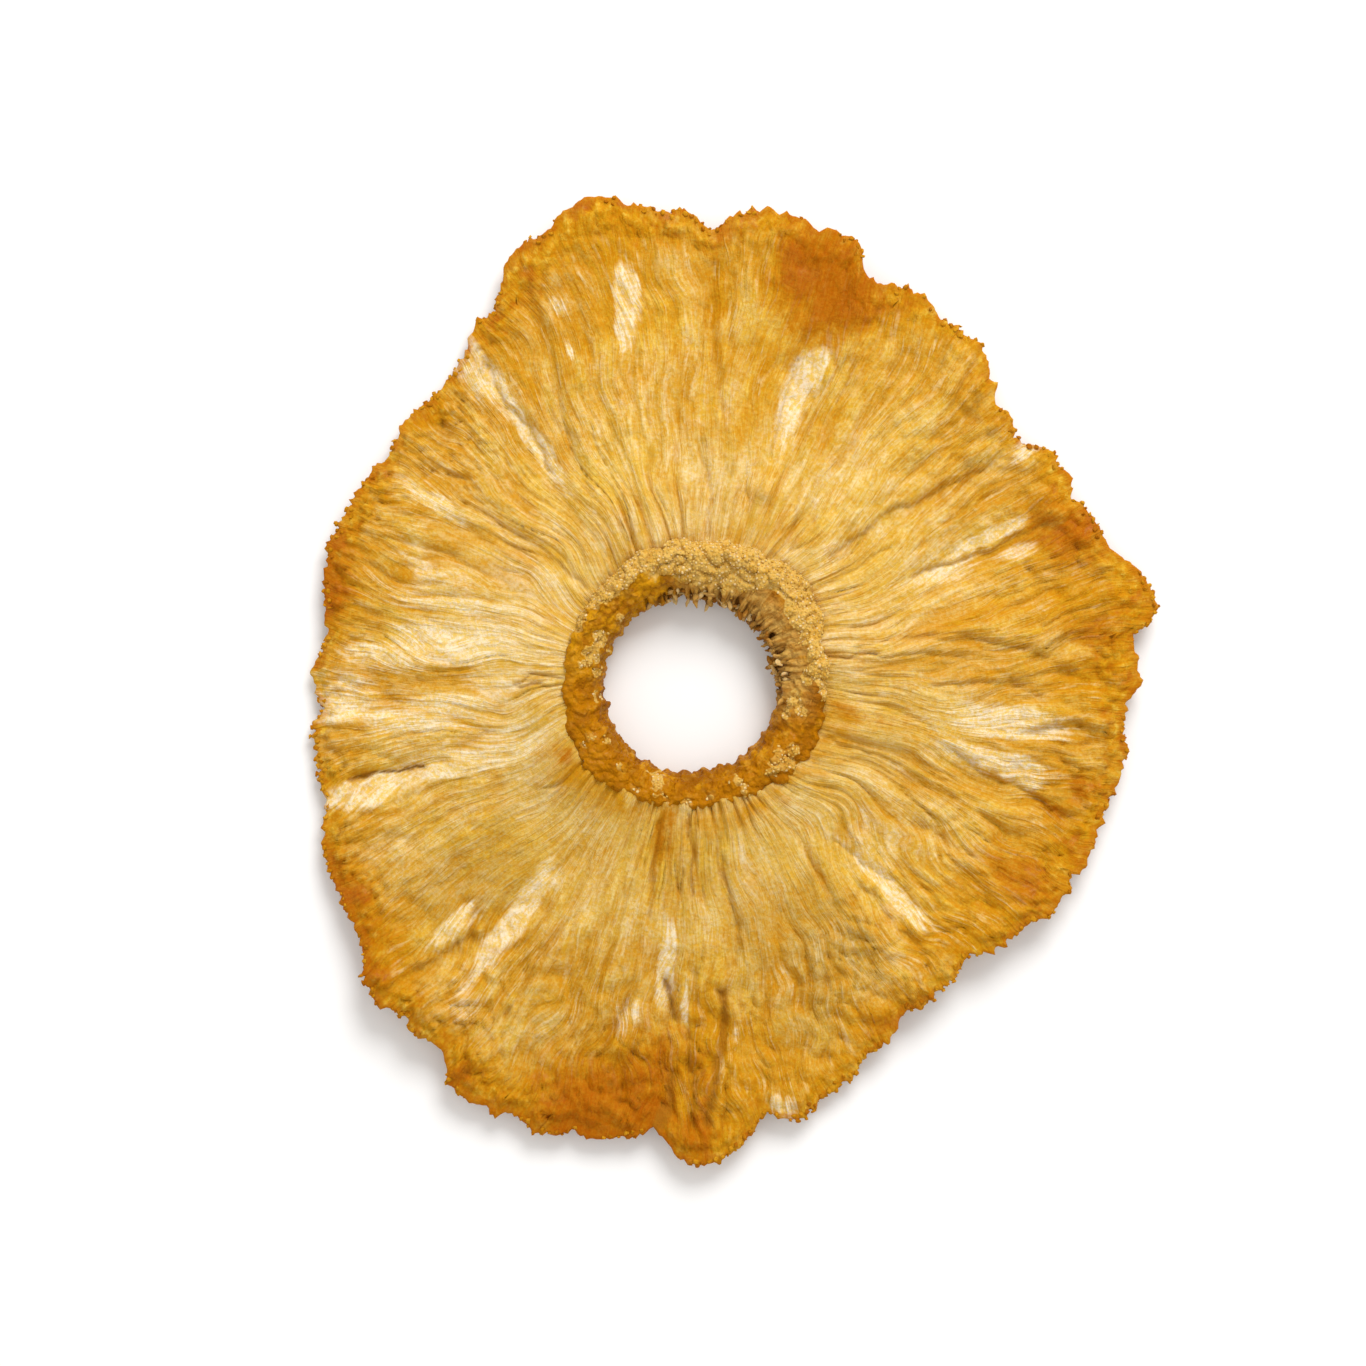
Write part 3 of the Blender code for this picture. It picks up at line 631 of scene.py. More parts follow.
def collar_mesh(form):
    """The collar as one closed skin: the hole's wall, the crusted top and an edge tucked into the flesh."""
    crest = form["crest"]
    outer = collar_edge(ANGLES) + 0.42 * round_noise(7.0, 37) + 0.34 * round_noise(19.0, 38)
    lumps = 0.10 * round_noise(15.0, 26)
    lumps += pillared(ANGLES) * (0.14 * round_noise(15.0, 26) + 0.14 * round_noise(30.0, 36))
    core = form["hole"] + 0.32 * round_noise(6.0, 25) + lumps
    steep = cliff(ANGLES)
    brow, lip = crest[0], crest[-1] + (COLLAR_LEVEL - crest[-1]) * (1 - steep)
    rows = [(core + 2.4, 0 * core + 1.3), (core + 0.9, 0 * core + 0.3)]
    for share in np.linspace(0, 1, WALL_ROWS, endpoint=False):
        bow = 0.5 * (1 - share) ** 2 + 0.25 * math.sin(math.pi * share)
        rows.append((core + bow, 0.25 + (brow - 0.25) * share))
    for row, share in enumerate(np.linspace(0, 1, COLLAR_ROWS)):
        level = crest[row] + (COLLAR_LEVEL - crest[row]) * (1 - steep) * step(share, 0.4, 0.9)
        rows.append((core + (outer - core) * share, level + 0.45 * steep * step(share, 0.55, 1.0)))
    rows.append((outer + 0.26, lip + 0.15 - 0.4 * (1 - steep)))
    rows += [(outer + out, lip - down) for out, down in ((0.40, 0.4), (0.45, 1.1), (-1.2, 2.0))]
    radius, height = (np.array(part) for part in zip(*rows))
    points = ring_points(radius, height)

    # The crust lies outside a wandering line, and in blotches inside it
    angle = np.broadcast_to(ANGLES, radius.shape)
    x, y = points[..., 0], points[..., 1]
    ripple = noise(points / 1.9, 40)
    bits, shifted_bits, chips = noise(points / 0.7, 41), noise(points / 0.7, 49), noise(points / 0.4, 48)
    crust = 1 - step(radius - by_angle(CRUST_INNER_EDGE, angle) + 1.1 * ripple + 0.35 * bits, 0.3, -0.3)
    for middle_x, middle_y, size in CRUST_BLOTCHES:
        aside = x + 0.45 * bits + 0.25 * chips - middle_x
        ahead = y + 0.45 * shifted_bits - 0.25 * chips - middle_y
        crust = np.maximum(crust, step(size - np.hypot(aside, ahead), -0.15, 0.15) * (height > 3))

    # The wall and the brow are split into posts and shards where the wall is pillared
    east = pillared(angle)
    from_brow, below_brow = radius - core, brow - height
    fall = 1.3 + 1.2 * toward(angle, ROUNDED_BROW, 0.3, 0.8)
    slope = np.where(height < brow - 0.05, 1.0, step(from_brow, fall, 0.3))
    tall = height / 3.5 + from_brow / 4.0
    post = folds(drawn_out(angle, tall, 7.5, 1.0, 42) + 0.35 * drawn_out(angle, tall, 17.0, 0.7, 43), 3.0)
    shard = folds(drawn_out(angle, tall, 21.0, 0.8, 44), 3.5)
    lump = folds(noise(points / 1.4, 45), 3.0)
    pebble = granules(points / 0.62, 46)
    grit = granules(points / 0.34, 47)
    swell = (0.30 + 0.30 * crust) * (lump - FOLD_MEAN) + 0.16 * ripple
    swell += (0.07 + 0.07 * crust) * (pebble - 0.5)
    swell += (0.04 + 0.05 * crust) * (grit - 0.5) + 0.10 * (1 - crust) * chips
    split = slope * east * (0.75 * (post - 0.62) + 0.30 * (shard - FOLD_MEAN))
    swell += split + slope * (1 - east) * 0.08 * (post - FOLD_MEAN)
    shown = np.ones((len(rows), 1))
    shown[:1] = 0
    shown[-3:] = 0
    points = displaced(points, swell * shown)
    points[..., 2] = np.maximum(points[..., 2], 0.05)

    fringe = slope * step(below_brow, 2.6, 0.2) * step(from_brow, 1.3, 0.3) * np.maximum(east - 0.3, 0)
    fields = {
        "crust": crust * (height > 1),
        # Painted shade: the gaps between the wall's posts and shards, and the hollows between the lumps
        "hollow": np.clip(slope * east * (0.7 * (1 - post) + 0.4 * (1 - shard)) + 0.12 * (1 - lump), 0, 1),
        "grit": grit,
        "pebble": pebble,
        # Painted shade: stronger the further down the hole's wall
        "depth": step(below_brow, 0.3, 4.5),
        "bark": toward(angle, DRY_BARK, 0.35, 0.8) * step(from_brow, 4.5, 2.0),
        # Painted light: a brighter glaze at the top left, where the collar's inner slope faces away from the
        # key light
        "honeyed": toward(angle, LIT_GLAZE_SIDE, 0.4, 0.9) * step(below_brow, 3.0, 0.5),
        "stain": toward(angle, GLAZE_STAIN, -0.2, 0.6) * step(from_brow, 1.0, 3.5),
        "fringe": fringe * (shown > 0),
    }
    course = np.stack([np.cos(angle), np.sin(angle), tall], -1)
    return grid_mesh("core_collar", points, fields, course)


def displaced(points, swell):
    """Points of a closed grid moved along its normals."""
    along = np.roll(points, -1, axis=0) - np.roll(points, 1, axis=0)
    round_ring = np.roll(points, -1, axis=1) - np.roll(points, 1, axis=1)
    normal = np.cross(along, round_ring)
    normal /= np.maximum(np.linalg.norm(normal, axis=-1, keepdims=True), 1e-9)
    return points + normal * swell[..., None]


def grid_mesh(name, points, fields, course):
    """A closed mesh of rows round the core, with its fields and its fibres' course as attributes."""
    row_count = len(points)
    index = np.arange(row_count * SECTIONS).reshape(row_count, SECTIONS)
    above = np.roll(index, -1, axis=0)
    faces = np.stack([index, above, np.roll(above, -1, axis=1), np.roll(index, -1, axis=1)], -1)
    mesh = bpy.data.meshes.new(name)
    mesh.from_pydata((points * MM + (CORE[0], CORE[1], 0.0)).reshape(-1, 3), [], faces.reshape(-1, 4))
    mesh.shade_smooth()
    for label, values in fields.items():
        attribute = mesh.attributes.new(label, "FLOAT", "POINT")
        attribute.data.foreach_set("value", np.broadcast_to(values, index.shape).astype(np.float32).ravel())
    attribute = mesh.attributes.new("fibre", "FLOAT_VECTOR", "POINT")
    attribute.data.foreach_set("vector", course.astype(np.float32).ravel())
    return mesh


# Node trees


class Net:
    """A node tree, with short ways to add what the trees of this file are made of."""

    def __init__(self, tree):
        self.tree = tree
        self.colour = None

    def feed(self, value, socket):
        """Links a value to a socket, or sets it there. A plain colour is made opaque."""
        if isinstance(value, bpy.types.NodeSocket):
            self.tree.links.new(value, socket)
        elif socket.type == "RGBA":
            socket.default_value = (*value, 1.0)
        else:
            socket.default_value = value

    def put(self, kind, inputs=(), **settings):
        """Adds a node, gives it its settings, and sets or links its inputs."""
        node = self.tree.nodes.new(kind)
        for name, value in settings.items():
            setattr(node, name, value)
        for name, value in dict(inputs).items():
            self.feed(value, node.inputs[name])
        return node

    def first(self, kind, inputs=(), **settings):
        """The first output of a new node."""
        return self.put(kind, inputs, **settings).outputs[0]

    def field(self, name):
        return self.put("ShaderNodeAttribute", attribute_name=name).outputs["Fac"]

    def maths(self, operation, first, second=0.0, clamp=False):
        return self.first("ShaderNodeMath", {0: first, 1: second}, operation=operation, use_clamp=clamp)

    def times(self, first, second):
        return self.maths("MULTIPLY", first, second)

    def total(self, *parts):
        """The sum of values, each times its weight."""
        whole = self.times(*parts[0])
        for part in parts[1:]:
            whole = self.maths("ADD", whole, self.times(*part))
        return whole

    def vector(self, operation, first, second):
        inputs = {0: first, "Scale" if operation == "SCALE" else 1: second}
        return self.first("ShaderNodeVectorMath", inputs, operation=operation)

    def joined(self, x=0.0, y=0.0, z=0.0):
        return self.first("ShaderNodeCombineXYZ", {0: x, 1: y, 2: z})

    def ramp(self, value, low, high, start=0.0, end=1.0):
        """A smooth step of a value between two limits."""
        inputs = {"Value": value, "From Min": low, "From Max": high, "To Min": start, "To Max": end}
        return self.first("ShaderNodeMapRange", inputs, interpolation_type="SMOOTHSTEP")

    def between(self, share, first, second):
        """A value between two values."""
        return self.first("ShaderNodeMix", {0: share, 2: first, 3: second}, data_type="FLOAT")

    def mixed(self, share, first, second, blend="MIX"):
        """A colour between two colours."""
        inputs = {0: share, 6: first, 7: second}
        return self.put("ShaderNodeMix", inputs, data_type="RGBA", blend_type=blend).outputs[2]

    def lay(self, tone, *shares, blend="MIX"):
        """Lays a tone over the colour so far, as strongly as the product of the shares."""
        share = shares[0]
        for other in shares[1:]:
            share = self.times(share, other)
        self.colour = self.mixed(share, self.colour, tone, blend)

    def shared(self, name, *inputs):
        """The outputs of one of the shared groups, given its inputs in their order."""
        group = bpy.data.node_groups.get(name) or GROUP_MAKERS[name]()
        return self.put("ShaderNodeGroup", dict(enumerate(inputs)), node_tree=group).outputs

    def dress(self, shader, values, height, depth, strength):
        """Gives the shader the values that vary over the surface, and a bump so many mm deep."""
        bump = {"Strength": strength, "Distance": depth * MM, "Height": height}
        for socket, value in {**values, "Normal": self.first("ShaderNodeBump", bump)}.items():
            self.feed(value, shader.inputs[socket])


def new_tree(name, kind, inputs, outputs):
    """A new node tree with its sockets, and the ends of its inputs and its outputs."""
    tree = bpy.data.node_groups.new(name, kind)
    for label, socket_kind, *default in inputs:
        socket = tree.interface.new_socket(label, in_out="INPUT", socket_type="NodeSocket" + socket_kind)
        if default:
            socket.default_value = default[0]
    for label, socket_kind in outputs:
        tree.interface.new_socket(label, in_out="OUTPUT", socket_type="NodeSocket" + socket_kind)
    return Net(tree), tree.nodes.new("NodeGroupInput").outputs, tree.nodes.new("NodeGroupOutput").inputs


def streak_group():
    """Streaks along the fibres, and thin lines between them, both from 0 to 1."""
    inputs = (("Course", "Vector"), ("Across", "Float", 100.0), ("Along", "Float", 5.0))
    outputs = (("Streak", "Float"), ("Lines", "Float"))
    net, given, result = new_tree("fibre_streaks", "ShaderNodeTree", inputs, outputs)
    scale = net.joined(given["Across"], given["Across"], given["Along"])
    course = net.vector("MULTIPLY", given["Course"], scale)
    look = {"Vector": course, "Scale": 1.0, "Detail": 3.0, "Roughness": 0.58, "Distortion": 0.25}
    streak = net.first("ShaderNodeTexNoise", look)
    net.feed(net.ramp(streak, 0.28, 0.72), result["Streak"])
    off = net.maths("ABSOLUTE", net.maths("SUBTRACT", streak, 0.5))
    net.feed(net.ramp(off, 0.0, 0.05, 1.0, 0.0), result["Lines"])
    return net.tree


def grain_group():
    """Grain of the fruit's surface: soft mottling, and fine granules with dark gaps between them."""
    inputs = (("Mottle", "Float", 400.0), ("Granules", "Float", 2500.0))
    outputs = (("Mottle", "Float"), ("Granules", "Float"))
    net, given, result = new_tree("fruit_grain", "ShaderNodeTree", inputs, outputs)
    place = net.put("ShaderNodeTexCoord").outputs["Object"]
    look = {"Vector": place, "Scale": given["Mottle"], "Detail": 4.0, "Roughness": 0.6}
    soft = net.first("ShaderNodeTexNoise", look)
    cells = net.first("ShaderNodeTexVoronoi", {"Vector": place, "Scale": given["Granules"]}, feature="F1")
    net.feed(net.ramp(soft, 0.3, 0.7), result["Mottle"])
    net.feed(net.ramp(cells, 0.65, 0.1), result["Granules"])
    return net.tree


def tint_group():
    """Colour of a small piece from its own tone, between a dark, a middle and a light colour."""
    inputs = (
        ("Tone", "Float", 0.5),
        ("Dark", "Color", (0.3, 0.1, 0.01, 1)),
        ("Middle", "Color", (0.5, 0.3, 0.06, 1)),
        ("Light", "Color", (0.7, 0.5, 0.2, 1)),
    )
    net, given, result = new_tree("crumb_tint", "ShaderNodeTree", inputs, (("Color", "Color"),))
    net.colour = net.mixed(net.ramp(given["Tone"], 0.0, 0.5), given["Dark"], given["Middle"])
    net.lay(given["Light"], net.ramp(given["Tone"], 0.5, 1.0))
    net.feed(net.colour, result["Color"])
    return net.tree


GROUP_MAKERS = {"fibre_streaks": streak_group, "fruit_grain": grain_group, "crumb_tint": tint_group}
DRIED_FRUIT = {  # what the materials of the ring have in common
    "Metallic": 0.0,
    "IOR": 1.32,
    "Specular IOR Level": 0.05,
    "Coat Roughness": 0.28,
    "Subsurface Weight": 0.12,
    "Subsurface Radius": (1.0, 0.45, 0.12),
    "Subsurface Scale": 0.0009,
}


def new_material(name):
    material = bpy.data.materials.new(name)
    material.use_nodes = True
    net = Net(material.node_tree)
    shader = net.tree.nodes["Principled BSDF"]
    for socket, value in DRIED_FRUIT.items():
        shader.inputs[socket].default_value = value
    return material, net, shader


def flesh_material(tones):
    """Dried flesh: straw gold with amber in its creases as painted warm shade, cream pockets and a toasted,
    sugary rim.
    """
    material, net, shader = new_material("dried_flesh")
    ramp, field, times, total, lay = net.ramp, net.field, net.times, net.total, net.lay
    course = net.put("ShaderNodeAttribute", attribute_name="fibre").outputs["Vector"]
    outward = net.put("ShaderNodeSeparateXYZ", {0: course}).outputs[2]

    # Streaks from broad to hair-fine, and mottling from coarse to fine
    blotch = net.shared("fibre_streaks", course, 9.0, 8.0)[0]
    wide, wide_lines = net.shared("fibre_streaks", course, 15.0, 2.2)
    middle, middle_lines = net.shared("fibre_streaks", course, 28.0, 4.5)
    patch = net.shared("fibre_streaks", course, 30.0, 10.0)[0]
    close, close_lines = net.shared("fibre_streaks", course, 60.0, 7.0)
    far, far_lines = net.shared("fibre_streaks", course, 110.0, 7.5)
    hair = net.shared("fibre_streaks", course, 210.0, 15.0)[0]
    coarse = net.shared("fruit_grain", 260.0, 1500.0)[0]
    grain = net.shared("fruit_grain", 1150.0, 2600.0)[0]
    speck = net.shared("fruit_grain", 2900.0, 5200.0)[0]
    far_out = ramp(outward, 0.6, 1.15)
    inner = ramp(outward, 0.7, 1.25, 1.0, 0.45)
    fine = net.between(far_out, close, far)
    uneven = total((middle, 0.40), (fine, 0.35), (grain, 0.35), (coarse, 0.25), (patch, 0.25))
    uneven = net.maths("SUBTRACT", uneven, 0.8)
    fibrous = net.maths("SUBTRACT", total((wide, 0.45), (middle, 0.60), (fine, 0.35)), 0.7)

    def lay_where(name, low, high, tone, strength, break_up):
        """Lays a tone where a field is high, broken up by streaks and grain."""
        mask = field(name)
        broken = net.maths("ADD", mask, times(uneven, break_up))
        lay(tone, ramp(broken, low, high, 0.0, strength), ramp(mask, 0.0, 0.12))

    # The flesh's tones along its streaks: partly its own paler and darker fibres, and partly painted light on
    # the ridges that the bump raises, with painted shade between them
    streak = total((middle, 0.34), (fine, 0.20), (wide, 0.24), (grain, 0.22))
    streak = net.between(ramp(field("pleated"), 0.1, 0.9, 0.5, 0.0), streak, 0.55)
    net.colour = net.mixed(ramp(streak, 0.22, 0.74), tones.straw_shade, tones.straw)
    lay(tones.gold, field("gold"), ramp(wide, 0.0, 1.0, 0.45, 0.95))
    lay(tones.cream, ramp(blotch, 0.45, 1.0), ramp(patch, 0.3, 1.0, 0.15, 0.75), inner)
    lay(tones.ashen, ramp(blotch, 0.45, 0.0), ramp(patch, 0.7, 0.1, 0.1, 0.65))
    # Painted highlight: cream on the peaks of the fine streaks, which the bump also raises
    lay(tones.cream, ramp(fine, 0.5, 1.0), ramp(middle, 0.4, 1.0, 0.0, 0.40), inner)
    lay_where("ashen", 0.25, 0.95, tones.ashen, 0.75, 0.5)

    # Amber as painted warm shade in the fold valleys, amber along the lines, and amber where the flesh has
    # browned
    lay_where("crease", 0.25, 0.80, tones.amber, 0.72, 0.35)
    lay(tones.amber, middle_lines, ramp(coarse, 0.3, 0.9, 0.0, 0.45))
    lay(tones.amber, wide_lines, ramp(grain, 0.2, 0.9, 0.1, 0.5))
    lay(tones.amber, net.between(far_out, close_lines, far_lines), ramp(coarse, 0.2, 0.9, 0.1, 0.6))
    lay_where("rosy", 0.30, 0.9, tones.rosy, 0.25, 0.4)
    lay_where("rim_band", 0.15, 0.95, tones.amber, 0.85, 1.0)
    lay_where("amber", 0.10, 0.80, tones.amber, 0.96, 0.7)

    # Pale strands, cream pockets, gold on the lumps near the rim as painted highlight with the scorch colour
    # in the gaps between them as painted shade, and toasted places
    strands = times(ramp(far, 0.45, 1.0), ramp(outward, 0.65, 1.1, 0.0, 0.55))
    strands = times(strands, ramp(patch, 0.15, 0.85, 0.15, 1.0))
    off_rim = ramp(field("rim_band"), 0.0, 0.8, 1.0, 0.1)
    lay(tones.straw, strands, off_rim, ramp(grain, 0.1, 0.8, 0.4, 1.0))
    cream = ramp(net.maths("ADD", field("cream"), times(fibrous, 0.6)), 0.25, 0.70)
    lay(tones.cream, cream, ramp(field("cream"), 0.0, 0.3, 0.0, 0.95), ramp(fine, 0.0, 0.8, 0.62, 1.0))
    # Painted highlight in gold on the knobs' tops, and painted shade in the scorch colour between them
    lay(tones.gold, ramp(field("knobs"), 0.45, 0.95), ramp(grain, 0.2, 0.8, 0.1, 0.8))
    lay(tones.scorch, field("gaps"), ramp(coarse, 0.1, 0.8, 0.25, 0.8))
    lay(tones.scorch, field("rim_band"), ramp(coarse, 0.5, 1.0, 0.0, 0.5))
    lay_where("scorch", 0.10, 0.95, tones.scorch, 0.95, 0.55)
    lay_where("seared", 0.20, 1.00, tones.scorch, 0.55, 0.8)

    # The finest grain tints everything, paler where the bump is raised; painted shade darkens the creases,
    # cracks and pits, and the crevice at the collar's edge
    fine_grain = total((speck, 0.40), (hair, 0.30), (fine, 0.15), (grain, 0.15))
    fine_grain = ramp(fine_grain, 0.22, 0.80)
    tint = net.mixed(fine_grain, tones.grain_dark, tones.grain_light)
    lay(tint, ramp(outward, 0.45, 0.95, 0.60, 1.0), blend="MULTIPLY")
    shade = net.maths("MAXIMUM", field("shade"), times(field("crevice"), 0.55))
    lay(tones.crease, ramp(shade, 0.15, 1.0, 0.0, 0.8))

    moist = net.maths("ADD", field("amber"), field("rim_band"), clamp=True)
    values = {
        "Base Color": net.colour,
        "Roughness": ramp(moist, 0.0, 1.0, 0.62, 0.46),
        "Coat Weight": times(ramp(moist, 0.3, 1.0), ramp(coarse, 0.60, 0.95, 0.0, 0.10)),
    }
    height = total((middle, 0.35), (fine, 0.40), (grain, 0.28), (wide_lines, -0.2), (fine_grain, 0.20))
    net.dress(shader, values, height, 0.30, 0.6)
    return material


def collar_material(tones):
    """The collar: a beige crust outside, an amber glaze inside it, and painted shade in the gaps and down the
    hole's wall.
    """
    material, net, shader = new_material("core_collar")
    ramp, field, total, lay = net.ramp, net.field, net.total, net.lay
    course = net.put("ShaderNodeAttribute", attribute_name="fibre").outputs["Vector"]
    streak = net.shared("fibre_streaks", course, 26.0, 1.4)[0]
    grain, granules_fine = net.shared("fruit_grain", 900.0, 3200.0)
    coarse, granules_coarse = net.shared("fruit_grain", 330.0, 1700.0)

    # The glaze, darker between its grains, with painted highlights, painted light at the top left, bark and a
    # little crust on it
    wet = total((coarse, 0.6), (streak, 0.4))
    net.colour = net.mixed(ramp(wet, 0.2, 0.8), tones.glaze_shade, tones.glaze)
    # Painted highlight: brighter glaze in mottled spots
    lay(tones.lit_glaze, ramp(grain, 0.45, 0.95), ramp(coarse, 0.3, 0.9, 0.2, 0.7))
    lay(tones.lit_glaze, field("honeyed"), ramp(coarse, 0.1, 0.8, 0.45, 1.0))
    lay(tones.glaze_shade, ramp(granules_coarse, 0.35, 0.0), ramp(coarse, 0.7, 0.1, 0.0, 0.7))
    lay(tones.crust, ramp(field("pebble"), 0.35, 0.9), ramp(grain, 0.3, 0.9, 0.0, 0.12))
    lay(tones.bark, field("bark"), ramp(streak, 0.1, 0.7, 0.35, 1.0))

    # The crust, its stain, and painted shade in the gaps and hollows, with the wall's own browner tone laid
    # more strongly as painted shade the deeper it goes
    tone = total((field("grit"), 0.45), (grain, 0.35), (coarse, 0.3))
    crust = net.mixed(ramp(tone, 0.15, 0.85), tones.crust_shade, tones.crust)
    edge = net.maths("ADD", field("crust"), total((coarse, 0.5), (grain, 0.3)))
    lay(crust, ramp(edge, 0.65, 1.15))
    lay(tones.glaze, field("stain"), ramp(coarse, 0.1, 0.8, 0.3, 0.9))
    lay(tones.hollow, ramp(field("hollow"), 0.15, 0.75, 0.0, 0.9))
    lay(tones.wall, ramp(field("depth"), 0.0, 1.0, 0.0, 0.75))

    glazed = net.maths("SUBTRACT", 1.0, field("crust"), clamp=True)
    values = {
        "Base Color": net.colour,
        "Roughness": ramp(glazed, 0.0, 1.0, 0.60, 0.38),
        "Coat Weight": net.times(glazed, ramp(coarse, 0.65, 0.95, 0.0, 0.10)),
    }
    net.dress(shader, values, total((granules_fine, 0.5), (grain, 0.4), (streak, 0.3)), 0.18, 0.6)
    return material


def crumb_material(name, dark, middle, light, roughness):
    """Crust granules, fringe and crumbs: each piece has its own tone, with a fine grain."""
    material, net, shader = new_material(name)
    grain, granules_fine = net.shared("fruit_grain", 1100.0, 4200.0)
    tone = net.maths("ADD", net.field("tone"), net.times(grain, 0.3))
    tone = net.maths("SUBTRACT", tone, 0.15)
    values = {
        "Base Color": net.shared("crumb_tint", tone, dark, middle, light)[0],
        "Roughness": net.ramp(grain, 0.0, 1.0, roughness - 0.1, roughness + 0.1),
    }
    net.dress(shader, values, granules_fine, 0.12, 0.5)
    return material


# Geometry Nodes for the granules, the fringe and the crumbs


SCATTER_INPUTS = (
    ("Geometry", "Geometry"),
    ("Mask", "String"),
    ("Spacing", "Float"),
    ("Size", "Float"),
    ("Reach", "Float"),
    ("Droop", "Float"),
    ("Roughness", "Float"),
    ("Seed", "Int"),
    ("Material", "Material"),
)
MOST_LUMPS = 4.0e7  # to a square metre, before those too close together are left out
ROUGHNESS_SCALE = 2600.0
LEAST_STRETCH, MOST_STRETCH = (0.6, 0.6, 0.6), (1.3, 1.3, 1.4)
STRAY_SEED, TONE_SEED = 5, 9
LOWEST = (-1.0, -1.0, 0.0)  # holds every point above the ground, and leaves it free sideways


def scatter_tree(name, segments):
    """Small lumps grown out of a surface wherever its mask is high, each with its own tone."""
    net, given, result = new_tree(name, "GeometryNodeTree", SCATTER_INPUTS, (("Geometry", "Geometry"),))

    def stray(least, most, seed):
        """A random vector for each lump."""
        limits = {0: least, 1: most, "Seed": seed}
        return net.first("FunctionNodeRandomValue", limits, data_type="FLOAT_VECTOR")

    mask = net.first("GeometryNodeInputNamedAttribute", {"Name": given["Mask"]}, data_type="FLOAT")
    scatter = {
        "Mesh": given["Geometry"],
        "Distance Min": given["Spacing"],
        "Density Max": MOST_LUMPS,
        "Density Factor": mask,
        "Seed": given["Seed"],
    }
    points = net.put("GeometryNodeDistributePointsOnFaces", scatter, distribute_method="POISSON").outputs
    size = net.joined(given["Size"], given["Size"], given["Reach"])
    scale = net.vector("MULTIPLY", stray(LEAST_STRETCH, MOST_STRETCH, given["Seed"]), size)
    lean = net.vector("ADD", net.joined(z=given["Droop"]), stray((-0.5,) * 3, (0.5,) * 3, STRAY_SEED))
    aim = {"Vector": net.vector("ADD", points["Normal"], lean)}
    lump = {"Segments": segments, "Rings": segments - 1, "Radius": 0.5}
    copies = {
        "Points": points["Points"],
        "Instance": net.first("GeometryNodeMeshUVSphere", lump),
        "Rotation": net.first("FunctionNodeAlignRotationToVector", aim, axis="Z"),
        "Scale": scale,
    }
    tone = {2: 0.0, 3: 1.0, "Seed": TONE_SEED}
    tone = net.put("FunctionNodeRandomValue", tone, data_type="FLOAT").outputs[1]
    toned = {"Geometry": net.first("GeometryNodeInstanceOnPoints", copies), "Name": "tone", "Value": tone}
    toned = net.first("GeometryNodeStoreNamedAttribute", toned, data_type="FLOAT", domain="INSTANCE")
    whole = net.first("GeometryNodeRealizeInstances", {"Geometry": toned})
    place = net.first("GeometryNodeInputPosition")
    rough = {"Vector": place, "Scale": ROUGHNESS_SCALE, "Detail": 1.0}
    rough = net.put("ShaderNodeTexNoise", rough).outputs["Color"]
    offset = net.vector("SCALE", net.vector("SUBTRACT", rough, (0.5, 0.5, 0.5)), given["Roughness"])
    moved = {"Geometry": whole, "Position": net.vector("MAXIMUM", net.vector("ADD", place, offset), LOWEST)}
    smooth = {"Geometry": net.first("GeometryNodeSetPosition", moved)}
    dressed = {"Geometry": net.first("GeometryNodeSetShadeSmooth", smooth), "Material": given["Material"]}
    net.feed(net.first("GeometryNodeSetMaterial", dressed), result["Geometry"])
    return net.tree


def linked(name, data):
    """A new object of the scene."""
    made = bpy.data.objects.new(name, data)
    bpy.context.scene.collection.objects.link(made)
    return made


def add_piece(name, mesh):
    """A piece of the ring: it rides on the ring's one body."""
    piece = linked(name, mesh)
    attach(piece, BODY)


def grow(name, ground, segments, **values):
    """Grows a piece on another by Geometry Nodes, from values for the tree's inputs, as a plain mesh."""
    tree = scatter_tree(name, segments)
    host = linked(name + "_host", bpy.data.objects[ground].data)
    modifier = host.modifiers.new(name, "NODES")
    modifier.node_group = tree
    for item in tree.interface.items_tree:
        if item.in_out == "INPUT" and item.name.lower() in values:
            modifier[item.identifier] = values[item.name.lower()]
    bpy.context.view_layer.update()
    graph = bpy.context.evaluated_depsgraph_get()
    mesh = bpy.data.meshes.new_from_object(host.evaluated_get(graph))
    host.modifiers.clear()
    bpy.data.objects.remove(host)
    if not len(mesh.polygons):
        raise RuntimeError(f"nothing grew for {name}")
    add_piece(name, mesh)


# Settings


def number_property(name, description, default, unit="NONE"):
    return bpy.props.FloatProperty(name=name, description=description, default=default, unit=unit)


def colour_property(name, description, default):
    return bpy.props.FloatVectorProperty(
        name=name, description=description, default=default, subtype="COLOR", size=3, min=0.0, max=2.0
    )


